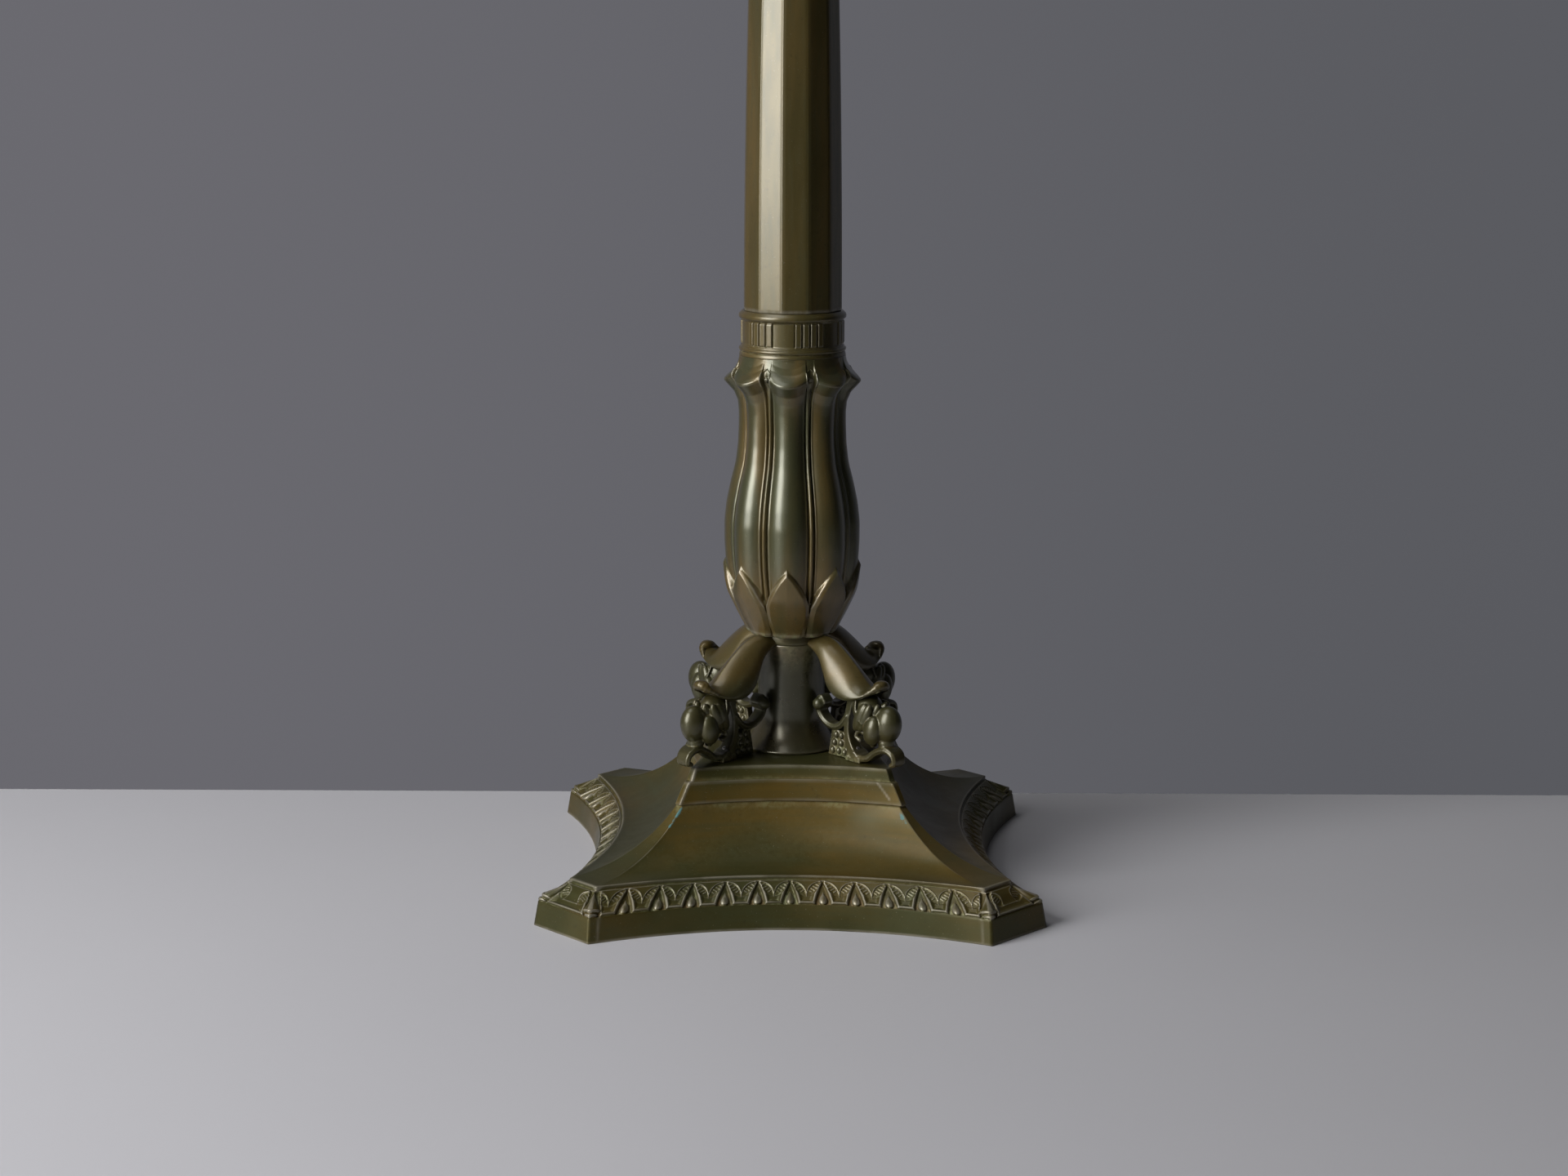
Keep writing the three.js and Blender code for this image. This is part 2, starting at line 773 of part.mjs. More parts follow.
function scrollBracket() {
  const stem = [[61.3, 0.3], [58, 8.6], [54.1, 20.5], [53.9, 34.2], [56.8, 47.9], [58.7, 61.6]];
  const stemThick = [[0, 39.5], [0.18, 22.4], [0.4, 15.8], [0.8, 17.1], [1, 22.4]];
  const stemWide = [[0, 30.3], [0.2, 22.4], [0.5, 17.8], [1, 22.4]];
  const scroll = [
    [53.3, 35.1], [48, 27.9], [41.6, 25], [34.7, 27.2],
    [29.3, 33.6], [27.5, 42], [30.1, 45.5],
  ];
  const loop = [
    [61.3, 4.6], [72, 5], [80, 12], [88, 16.4],
    [95.2, 13], [97.1, 6.2], [94.1, 5],
  ];
  const curl = [[79.3, 18.8], [73.3, 26.4], [67.5, 28.1], [65.1, 23.3], [68, 20.5]];
  const [voluteOut, voluteZ] = onBracket([28.5, 43.5]);
  const volute = disc(ofWidth(23), -ofWidth(21.1), ofWidth(21.1), 12);
  const pieces = [
    leafTongue(),
    strap(stem, 7, stemThick, stemWide, 6),
    strap(scroll, 8, [[0, 11.2], [1, 9.9]], [[0, 17.1], [1, 18.4]], 6),
    volute.rotateX(Math.PI / 2).translate(voluteOut, 0, voluteZ),
    ball([72, 42.8], 0, [59.2, 55.3, 53.9], 0.5),
    ball([87.5, 36.6], 0, [48.7, 43.4, 60.5], 0.15),
    ball([81.3, 31.8], -36.8, [35.5, 27.6, 48.7], 0.2),
    ball([81.3, 31.8], 36.8, [35.5, 27.6, 48.7], 0.2),
    ball([86.7, 20.5], 0, [27.6, 28.9, 23.7]),
    strap(loop, 9, [[0, 13.2], [0.5, 14.5], [1, 10.5]], [[0, 26.3], [0.5, 30.3], [1, 22.4]], 6),
    berryPatch(),
  ];
  for (const side of [-1, 1]) {
    pieces.push(strap(curl, 6, [[0, 10.5], [1, 8.6]], [[0, 11.8], [1, 9.9]], 5, side * ofWidth(22.4)));
  }
  const around = urnOutline.slice(1, 6).map(([up, out]) => [out + sepalProud + 3 * clearance, urnZ + up]);
  const keepOut = turned(
    [
      [0, plateauZ + footFlareHeight],
      [footRadius + clearance, plateauZ + footFlareHeight],
      [collarRadius + clearance, collarZ - 2],
      [collarRadius + clearance, urnZ - clearance],
      [urnRimRadius + sepalProud + 2 * clearance, urnZ - clearance],
      ...around,
      [0, urnZ + urnOutline[5][0]],
    ],
    24,
  );
  const foot = plateauZ + clearance;
  const bore = disc(screwRadius + clearance, foot - cutOver, plateauZ + screwReach + clearance, 12);
  const plateauReach = stepBHalf * Math.SQRT2;
  const ground = box(plateauReach, 4 * stepBHeight, 2 * stepBHeight, plateauReach / 2, 0, foot - stepBHeight);
  return cut(join(pieces), [keepOut, ground, bore.translate(screwOut, 0, 0)]);
}

// The triangular patch that carries the berries
function berryPatch() {
  const corners = [[36, 0.3], [57.3, 0.3], [52, 22.3], [40, 23.3]];
  const shape = new THREE.Shape(corners.map((corner) => new THREE.Vector2(...onBracket(corner))));
  const thick = ofWidth(28.9);
  const geometry = new THREE.ExtrudeGeometry(shape, { depth: thick, bevelEnabled: false });
  return geometry.rotateX(Math.PI / 2).translate(0, thick / 2, 0);
}

const bracketGeometry = scrollBracket();
const cornerNames = ["back_right", "back_left", "front_left", "front_right"];
cornerNames.forEach((corner, k) => {
  addPiece(`scroll_bracket_${corner}`, bracketGeometry, bronze).rotation.z = cornerTurn(k);
  addPiece(`bracket_screw_${corner}`, bracketScrew(), steel).rotation.z = cornerTurn(k);
});

// Terminal block under the plateau and the lead that runs up inside the rod
const blockZ = cavityTopZ - blockHeight;
const terminalHoles = [-1, 1].map((side) => {
  const bore = disc(terminalScrewRadius + clearance, blockZ - cutOver, blockZ + blockHeight / 2, 12);
  return bore.translate((side * terminalPitch) / 2, blockOut - 2, 0);
});
addPiece(
  "terminal_block",
  cut(box(blockWidth, blockDepth, blockHeight, 0, blockOut, blockZ + blockHeight / 2), terminalHoles),
  porcelain,
);
["left", "right"].forEach((side, k) => {
  const screw = disc(terminalScrewRadius, blockZ + clearance, blockZ + blockHeight / 2 - clearance, 12);
  screw.translate(((2 * k - 1) * terminalPitch) / 2, blockOut - 2, 0);
  addPiece(`terminal_screw_${side}`, screw, brass);
});

const porcelainZ = barrelZ + clearance;

function internalLead() {
  const from = blockZ - clearance;
  const points = [
    [0, blockOut + 4, from],
    [0, blockOut + 4, from - 6],
    [0, blockOut + 1, from - 14],
    [0, blockOut - 9, leadDip - 3],
    [0, 8, leadDip - 1],
    [0, 1.5, leadDip + 7],
    [0, 0, rodBottomZ - 2],
    [0, 0, rodBottomZ + 40],
    [0, 0, (rodBottomZ + rodTopZ) / 2],
    [0, 0, rodTopZ - 40],
    [0, 0, rodTopZ],
  ];
  const curve = new THREE.CatmullRomCurve3(points.map((p) => new THREE.Vector3(...p)), false, "centripetal");
  const section = new THREE.Shape(
    Array.from({ length: leadSides }, (_, k) => {
      const turn = (2 * Math.PI * k) / leadSides;
      return new THREE.Vector2(leadRadius * Math.cos(turn), leadRadius * Math.sin(turn));
    }),
  );
  return new THREE.ExtrudeGeometry(section, { steps: leadSteps, bevelEnabled: false, extrudePath: curve });
}

addPiece("internal_lead", internalLead(), textile);

// Lamp holder
const switchZ = rodTopZ + switchFloor + rotorRadius + 3 * clearance;

function holderCap() {
  const top = barrelZ;
  const inner = holderRadius - holderWall;
  const outline = [
    [rodHole, holderZ],
    [holderRadius - 6, holderZ],
    [holderRadius - 1.6, holderZ + 4],
    [holderRadius, holderZ + 9],
    [holderRadius, top],
    [inner, top],
    [inner, holderZ + 9],
    [inner - 1.6, holderZ + 4.6],
    [holderRadius - 6.6, holderZ + holderFloor],
    [rodHole, holderZ + holderFloor],
  ];
  const hole = disc(shaftRadius + clearance, holderRadius - 4, holderRadius + 4, 12);
  return cut(turned(outline, 24), [hole.rotateY(Math.PI / 2).translate(0, 0, switchZ)]);
}

addPiece("holder_cap", holderCap(), brass);
const lockNutZ = holderZ + holderFloor;
addPiece("holder_nut", hexNut(lockNutZ, lockNutZ + nutHeight), steel);

function holderBarrel() {
  const inner = barrelRadius - holderWall;
  const flangeLow = barrelZ - barrelLap;
  return turned(
    [
      [holderRadius + clearance, flangeLow],
      [holderRadius + clearance + holderWall, flangeLow],
      [barrelRadius + 1.4, barrelZ - 1],
      [barrelRadius + 1.4, barrelZ + 1.4],
      [barrelRadius, barrelZ + barrelShoulder],
      [barrelRadius, barrelZ + barrelHeight],
      [inner, barrelZ + barrelHeight],
      [inner, barrelZ + clearance],
      [holderRadius + clearance, barrelZ + clearance],
    ],
    24,
  );
}

addPiece("holder_barrel", holderBarrel(), brass);

const shellZ = porcelainZ + porcelainHeight;

function porcelainInsert() {
  const solid = ringSolid(contactRadius + clearance, porcelainRadius, porcelainZ, shellZ, 24);
  const rotorRoom = box(2 * rotorRadius + 2, 2 * rotorRadius + 2, 1, 0, 0, porcelainZ);
  return cut(solid, [rotorRoom]);
}

addPiece("porcelain_insert", porcelainInsert(), porcelain);
addPiece(
  "screw_shell",
  turned(
    [
      [shellOuter - 3, shellZ],
      [shellOuter, shellZ],
      [shellOuter, shellZ + shellHeight],
      [shellOuter - shellWall, shellZ + shellHeight],
      [shellOuter - shellWall, shellZ + shellWall],
      [shellOuter - 3, shellZ + shellWall],
    ],
    24,
  ),
  brass,
);
const contactTop = shellZ + contactHeight;
addPiece("centre_contact", disc(contactRadius, porcelainZ + 1.2, contactTop, 16), brass);

// Switch: a porcelain block in the cap, a rotor on a shaft, and the key outside
function switchBlock() {
  const low = rodTopZ + clearance;
  const high = barrelZ - clearance;
  const solid = disc(holderRadius - holderWall - 2 * clearance, low, high, 24);
  const room = disc(rotorRadius + 2 * clearance, -rotorLength, holderRadius + 2, 16);
  room.rotateY(Math.PI / 2).translate(0, 0, switchZ);
  return cut(solid, [room]);
}

function switchRotor() {
  const rotor = disc(rotorRadius, -rotorLength + clearance, rotorLength - 2, 16);
  const shaft = disc(shaftRadius, rotorLength - 3, holderRadius + keyStandOff + 1, 12);
  const hub = disc(shaftRadius + 1.2, holderRadius + 1, holderRadius + keyStandOff + 2, 14);
  const wing = box(keyThick, keySpan, keyLength, 0, 0, holderRadius + keyStandOff + keyLength / 2);
  return join([rotor, shaft, hub, wing]).rotateY(Math.PI / 2).translate(0, 0, switchZ);
}

addPiece("switch_block", switchBlock(), porcelain);
addPiece("switch_key", switchRotor(), brass);

// Shade rings on the barrel's thread
function shadeRing(low) {
  const solid = ringSolid(barrelRadius + clearance, shadeRingOuter, low, low + shadeRingHeight, 28);
  const notches = [];
  for (let k = 0; k < shadeNotches; k += 1) {
    const angle = (2 * Math.PI * (k + 0.5)) / shadeNotches;
    const notch = disc(shadeNotchRadius, low - cutOver, low + shadeRingHeight + cutOver, 6);
    notches.push(notch.translate(shadeRingOuter * Math.cos(angle), shadeRingOuter * Math.sin(angle), 0));
  }
  return cut(solid, notches);
}

const lowerRingZ = barrelZ + barrelShoulder + clearance;
addPiece("lower_shade_ring", shadeRing(lowerRingZ), brass);
addPiece("upper_shade_ring", shadeRing(lowerRingZ + shadeRingApart), brass);

// Bulb
const bulbContactZ = contactTop + clearance;
const capZ = bulbContactZ + bulbContactHeight;
const glassZ = capZ + capHeight + clearance;

addPiece("bulb_contact", disc(bulbContactRadius, bulbContactZ, capZ - 0.1, 16), brass);

function bulbCap() {
  const insulator = [[0, capZ], [bulbContactRadius + 1, capZ], [capRadius, capZ + 4.4]];
  const rim = [[capRadius, capZ + capHeight], [capRadius - 0.6, capZ + capHeight]];
  const inside = [[capRadius - 0.6, capZ + 5], [bulbContactRadius, capZ + 2.4], [0, capZ + 2.4]];
  return latheOnAxis([...insulator, ...rim, ...inside], 24);
}

function latheOnAxis(outline, segments) {
  const geometry = new THREE.LatheGeometry(outline.map(([r, z]) => new THREE.Vector2(r, z)), segments);
  return geometry.rotateX(Math.PI / 2);
}

addPiece("bulb_cap", bulbCap(), brass);

function bulbGlass() {
  const centre = glassZ + bulbHeight - bulbRadius;
  const outer = [[bulbNeckRadius, glassZ], [bulbNeckRadius + 0.6, glassZ + bulbNeckHeight * 0.5]];
  const inner = [];
  const steps = 6;
  const startTurn = -0.86;
  for (let k = 0; k <= steps; k += 1) {
    const turn = startTurn + ((Math.PI / 2 - startTurn) * k) / steps;
    const last = k === steps;
    outer.push([last ? 0 : bulbRadius * Math.cos(turn), centre + bulbRadius * Math.sin(turn)]);
    const within = bulbRadius - bulbWall;
    inner.unshift([last ? 0 : within * Math.cos(turn), centre + within * Math.sin(turn)]);
  }
  inner.push([bulbNeckRadius + 0.6 - bulbWall, glassZ + bulbNeckHeight * 0.5]);
  inner.push([bulbNeckRadius - bulbWall, glassZ]);
  outer.pop();
  const top = centre + bulbRadius;
  return latheOnAxis([...inner, ...outer, [0, top]], 24);
}

addPiece("bulb_glass", bulbGlass(), glass);

function bulbMount() {
  const low = capZ + 4;
  const stem = latheOnAxis(
    [
      [0, low],
      [mountRadius + 3, low],
      [mountRadius, low + 8],
      [mountRadius / 2, low + mountHeight - 4],
      [mountRadius / 2 + 1, low + mountHeight],
      [0, low + mountHeight + 1],
    ],
    16,
  );
  return stem;
}

addPiece("bulb_mount", bulbMount(), glass);

function filament() {
  const low = capZ + 4 + mountHeight + 1.3;
  const high = low + 15;
  const turns = 4;
  const points = [];
  for (let k = 0; k <= 2 * turns; k += 1) {
    const angle = (Math.PI * k * 0.82) / turns;
    const z = k % 2 ? high : low + 4;
    points.push(new THREE.Vector3(filamentRadius * Math.cos(angle), filamentRadius * Math.sin(angle), z));
  }
  const curve = new THREE.CatmullRomCurve3(points);
  const section = new THREE.Shape(
    [0, 1, 2, 3].map((k) => {
      const turn = (Math.PI * k) / 2;
      return new THREE.Vector2(filamentWire * Math.cos(turn), filamentWire * Math.sin(turn));
    }),
  );
  const wire = new THREE.ExtrudeGeometry(section, { steps: 28, bevelEnabled: false, extrudePath: curve });
  const post = disc(0.8, low - 0.2, low + 7, 8);
  const arms = [0, 1, 2, 3].map((k) => {
    const length = filamentRadius + 0.6;
    return box(length, 0.7, 0.7, length / 2, 0, low + 5.4).rotateZ((Math.PI * 2 * k * 0.82) / turns);
  });
  return join([wire, post, ...arms]);
}

addPiece("filament", filament(), tungsten);

export default lamp;
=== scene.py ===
import math
import bpy
import numpy as np
from mathutils import Matrix, Vector


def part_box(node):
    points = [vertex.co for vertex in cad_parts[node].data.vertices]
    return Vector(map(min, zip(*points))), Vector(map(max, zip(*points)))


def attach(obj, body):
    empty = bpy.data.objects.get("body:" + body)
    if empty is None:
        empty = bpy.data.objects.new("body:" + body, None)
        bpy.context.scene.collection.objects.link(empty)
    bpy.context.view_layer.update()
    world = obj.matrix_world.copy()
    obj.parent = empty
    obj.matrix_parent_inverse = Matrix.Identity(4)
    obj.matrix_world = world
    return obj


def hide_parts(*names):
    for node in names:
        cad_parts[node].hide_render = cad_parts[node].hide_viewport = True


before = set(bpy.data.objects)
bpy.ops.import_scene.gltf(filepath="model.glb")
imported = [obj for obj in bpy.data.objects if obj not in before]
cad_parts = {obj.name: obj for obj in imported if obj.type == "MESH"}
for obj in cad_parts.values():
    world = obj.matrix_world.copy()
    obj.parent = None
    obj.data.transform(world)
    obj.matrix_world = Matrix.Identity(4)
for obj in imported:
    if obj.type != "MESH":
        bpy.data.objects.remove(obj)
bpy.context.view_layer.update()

# Lengths below are millimetres and become metres in add_mesh
MM = 0.001
TAU = 2 * math.pi
CORNERS = ("back_right", "back_left", "front_left", "front_right")


def span(name):
    """Heights of a node's bottom and top."""
    low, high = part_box(name)
    return low.z / MM, high.z / MM


# Heights of the stack, read from the frame
STACK = (
    "base_casting", "foot_tube", "collar_ring", "lotus_urn", "neck_collar", "column_shaft", "capital", "holder_cap"
)
PLATEAU, COLLAR, URN, NECK, COLUMN, CAPITAL, HOLDER, BARREL = (span(name)[1] for name in STACK)


# Numbers and curves

def smooth_step(x, low, high):
    t = np.clip((x - low) / (high - low), 0, 1)
    return t * t * (3 - 2 * t)


def bump(x, middle, width):
    return np.exp(-(((x - middle) / width) ** 2))


def smooth_curve(points, count):
    """Points on a Catmull-Rom curve through the given points."""
    p = np.asarray(points, float)
    p = np.vstack([2 * p[0] - p[1], p, 2 * p[-1] - p[-2]])
    spans = len(p) - 3
    at = np.linspace(0, spans, count)
    k = np.minimum(at.astype(int), spans - 1)
    t = (at - k)[:, None]
    a, b, c, d = p[k], p[k + 1], p[k + 2], p[k + 3]
    return 0.5 * (2 * b + (c - a) * t + (2 * a - 5 * b + 4 * c - d) * t**2 + (3 * b - a - 3 * c + d) * t**3)


def smooth_values(values, count):
    return smooth_curve([(value,) for value in values], count)[:, 0]


def rounded(points, radius, step):
    """A line through the points with its corners rounded and long stretches divided."""
    p = np.asarray(points, float)
    out = [p[0]]
    for before, corner, after in zip(p, p[1:], p[2:]):
        back, ahead = before - corner, after - corner
        room = min(np.hypot(*back[:2]), np.hypot(*ahead[:2])) / 2
        cut = min(radius, room * 0.95)
        start = corner + back * cut / np.hypot(*back[:2])
        end = corner + ahead * cut / np.hypot(*ahead[:2])
        for t in (0, 0.33, 0.67, 1):
            out.append(start * (1 - t) ** 2 + 2 * corner * t * (1 - t) + end * t**2)
    out.append(p[-1])
    line = [out[0]]
    for a, b in zip(out, out[1:]):
        parts = max(1, int(np.ceil(np.hypot(*(b - a)[:2]) / step)))
        line += [a + (b - a) * k / parts for k in range(1, parts + 1)]
    return np.array(line)


# Meshes

def add_mesh(name, points, faces, body, replaces, slot):
    """A smooth-shaded piece from points in millimetres and lists of faces with equal corner counts."""
    mesh = bpy.data.meshes.new(name)
    points = np.asarray(points, float)
    mesh.vertices.add(len(points))
    mesh.vertices.foreach_set("co", (points * MM).ravel())
    corners = np.concatenate([np.asarray(f).ravel() for f in faces])
    sizes = np.concatenate([np.full(len(f), np.shape(f)[1]) for f in faces])
    mesh.loops.add(len(corners))
    mesh.loops.foreach_set("vertex_index", corners)
    mesh.polygons.add(len(sizes))
    mesh.polygons.foreach_set("loop_start", np.concatenate([[0], np.cumsum(sizes)[:-1]]))
    mesh.update(calc_edges=True)
    mesh.validate()
    mesh.shade_smooth()
    obj = bpy.data.objects.new(name, mesh)
    bpy.context.scene.collection.objects.link(obj)
    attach(obj, body)
    if replaces:
        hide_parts(*replaces)
    return obj


def ring_faces(first, second, count):
    """Quads between two closed rings of equal count."""
    k = np.arange(count)
    n = (k + 1) % count
    return np.stack([first + k, first + n, second + n, second + k], -1)


def fan_faces(hub, ring, count, up):
    k = np.arange(count)
    n = (k + 1) % count
    hubs = np.full(count, hub)
    return np.stack([hubs, ring + k, ring + n] if up else [hubs, ring + n, ring + k], -1)


def sheet_faces(start, rows, count):
    """Quads over closed rings of equal count that follow each other."""
    return np.concatenate([ring_faces(start + r * count, start + (r + 1) * count, count) for r in range(rows - 1)])


def loft_faces(rows, count):
    """Faces of a solid over closed rings, whose first and last points are followed by the two end hubs."""
    low = fan_faces(rows * count, 0, count, False)
    high = fan_faces(rows * count + 1, (rows - 1) * count, count, True)
    return [sheet_faces(0, rows, count), np.concatenate([low, high])]


def lofted(rings):
    """A closed solid over closed rings of equal count, counter-clockwise seen from above."""
    rings = np.asarray(rings, float)
    points = np.vstack([rings.reshape(-1, 3), rings[0].mean(0), rings[-1].mean(0)])
    return points, loft_faces(*rings.shape[:2])


def round_rings(radius, angle, height):
    """Rings of points round the lamp's axis; the angle starts at the front."""
    return np.stack([radius * np.sin(angle), -radius * np.cos(angle), height + 0 * angle], -1)


def rotated(points, turn):
    """Points turned about the lamp's axis."""
    c, s = math.cos(turn), math.sin(turn)
    x, y, *rest = points.T
    return np.column_stack([x * c - y * s, x * s + y * c, *rest])


def raised(height, *points):
    """Points of an outline whose heights are counted from a given height."""
    return [(radius, height + rise) for radius, rise in points]


def turned(outline, columns, edge, step, shape=None):
    """A turned solid from its outline, which starts on the axis or on the bore; shape presses into its radius."""
    solid = outline[0][0] == 0
    line = rounded(outline if solid else [*outline, outline[0]], edge, step)
    ends = line[[0, -1], 1]
    line = line[1:-1] if solid else line[:-1]
    angle = TAU * np.arange(columns) / columns
    radius, height = line[:, :1] + 0 * angle, line[:, 1:] + 0 * angle
    if shape:
        radius = shape(radius, height, angle)
    points = round_rings(radius, angle, height).reshape(-1, 3)
    rows = len(line)
    if solid:
        return np.vstack([points, [(0, 0, z) for z in ends]]), loft_faces(rows, columns)
    quads = [ring_faces(r * columns, (r + 1) % rows * columns, columns) for r in range(rows)]
    return points, [np.concatenate(quads)]


def gather(*solids):
    """The points and faces of several solids together."""
    start, points, faces = 0, [], []
    for some_points, some_faces in solids:
        points.append(some_points)
        faces += [np.asarray(face) + start for face in some_faces]
        start += len(some_points)
    return np.vstack(points), faces


# Wear: hollows keep deposit and ridges are rubbed bright

def add_wear(obj, steps=10, hollow=0.25, ridge=0.2, extra=None):
    """Point fields that the materials read, from how far each point lies from its smoothed place."""
    mesh = obj.data
    count = len(mesh.vertices)

    def read(items, key, width, kind=float):
        values = np.zeros(len(items) * width, kind)
        items.foreach_get(key, values)
        return values.reshape(-1, width)

    co, normal = read(mesh.vertices, "co", 3) / MM, read(mesh.vertices, "normal", 3)
    a, b = read(mesh.edges, "vertices", 2, int).T
    degree = np.maximum(np.bincount(a, minlength=count) + np.bincount(b, minlength=count), 1)
    soft = co
    for _ in range(steps):
        sums = [np.bincount(a, soft[b, k], count) + np.bincount(b, soft[a, k], count) for k in range(3)]
        soft = np.stack(sums, -1) / degree[:, None]
    depth = ((soft - co) * normal).sum(1)
    fields = {"deposit": smooth_step(depth / hollow, 0.1, 1.0), "worn": smooth_step(-depth / ridge, 0.3, 1.1)}
    fields |= {key: np.zeros(count) for key in ("patch", "warm", "stain")}
    if extra:
        fields |= {key: np.clip(value, 0, 1) for key, value in extra(co, fields).items()}
    for key, value in fields.items():
        layer = mesh.attributes.new(key, "FLOAT", "POINT")
        layer.data.foreach_set("value", np.asarray(value, np.float32))


def dress(obj, material):
    obj.data.materials.clear()
    obj.data.materials.append(material)


def piece(node, solid, paint, slot="bronze", body="stand", wear=(), extra=None, replaces=None):
    """A dressed piece that stands for its node; wear gives add_wear its steps, hollow and ridge."""
    name = node if replaces == [] else f"{node}_detailed"
    obj = add_mesh(name, *solid, body, [node] if replaces is None else replaces, slot)
    if wear is not None:
        add_wear(obj, *wear, extra=extra)
    dress(obj, paint)


# Materials

COLOUR_A, COLOUR_B, COLOUR_OUT = 6, 7, 2


def rgb(red, green, blue):
    return (red, green, blue, 1.0)


class Nodes:
    """The node tree of a material or a world, whose nodes are added and joined by short calls."""

    def __init__(self, owner):
        owner.use_nodes = True
        self.tree = owner.node_tree

    def add(self, kind, inputs=None, **settings):
        node = self.tree.nodes.new(kind)
        for key, value in settings.items():
            setattr(node, key, value)
        for key, value in (inputs or {}).items():
            self.feed(node.inputs[key], value)
        return node

    def feed(self, socket, value):
        if isinstance(value, bpy.types.NodeSocket):
            self.tree.links.new(value, socket)
        else:
            socket.default_value = value

    def ramp(self, value, low, high, bottom=0.0, top=1.0, kind="SMOOTHSTEP"):
        inputs = {"Value": value, "From Min": low, "From Max": high, "To Min": bottom, "To Max": top}
        return self.add("ShaderNodeMapRange", inputs, interpolation_type=kind).outputs["Result"]

    def sum(self, operation, first, second, clamp=False):
        return self.add("ShaderNodeMath", {0: first, 1: second}, operation=operation, use_clamp=clamp).outputs[0]

    def plus(self, first, second, clamp=False):
        return self.sum("ADD", first, second, clamp)

    def times(self, first, second, clamp=False):
        return self.sum("MULTIPLY", first, second, clamp)

    def mix(self, share, first, second):
        inputs = {"Factor": share, COLOUR_A: first, COLOUR_B: second}
        return self.add("ShaderNodeMix", inputs, data_type="RGBA").outputs[COLOUR_OUT]

    def seen(self):
        """1 for the camera's own rays and for those off or through shiny surfaces."""
        path = self.add("ShaderNodeLightPath").outputs
        shiny = self.sum("MAXIMUM", path["Is Glossy Ray"], path["Is Transmission Ray"])
        return self.sum("MAXIMUM", path["Is Camera Ray"], shiny)


class Paint(Nodes):
    """A material with one shader."""

    def __init__(self, name):
        self.material = bpy.data.materials.new(name)
        super().__init__(self.material)
        self.shader = self.tree.nodes["Principled BSDF"]
        self.place = self.add("ShaderNodeTexCoord").outputs["Object"]

    def noise(self, scale, detail=4.0, roughness=0.55, stretch=None, distortion=0.0):
        place = self.place
        if stretch:
            place = self.add("ShaderNodeMapping", {"Vector": place, "Scale": stretch}).outputs["Vector"]
        inputs = {"Vector": place, "Scale": scale, "Detail": detail, "Roughness": roughness, "Distortion": distortion}
        return self.add("ShaderNodeTexNoise", inputs).outputs["Fac"]

    def field(self, name):
        return self.add("ShaderNodeAttribute", attribute_name=name).outputs["Fac"]

    def relief(self, height, strength, distance):
        bump_node = self.add("ShaderNodeBump", {"Height": height, "Strength": strength, "Distance": distance})
        self.feed(self.shader.inputs["Normal"], bump_node.outputs["Normal"])

    def set(self, **sockets):
        for key, value in sockets.items():
            self.feed(self.shader.inputs[key.replace("_", " ")], value)
        return self.material


MOSS = rgb(0.045, 0.053, 0.023)
SOOT = rgb(0.012, 0.011, 0.007)
PALE_SPECK = rgb(0.20, 0.19, 0.14)
PAINTED_PALE_HIGHLIGHT = rgb(0.13, 0.125, 0.075)
# Colour of rubbed ridges, also used for painted highlights
GLEAM = rgb(0.36, 0.33, 0.26)
CRUST = rgb(0.24, 0.25, 0.13)
BROWN_CRUST = rgb(0.13, 0.085, 0.032)
TEAL = rgb(0.075, 0.19, 0.19)


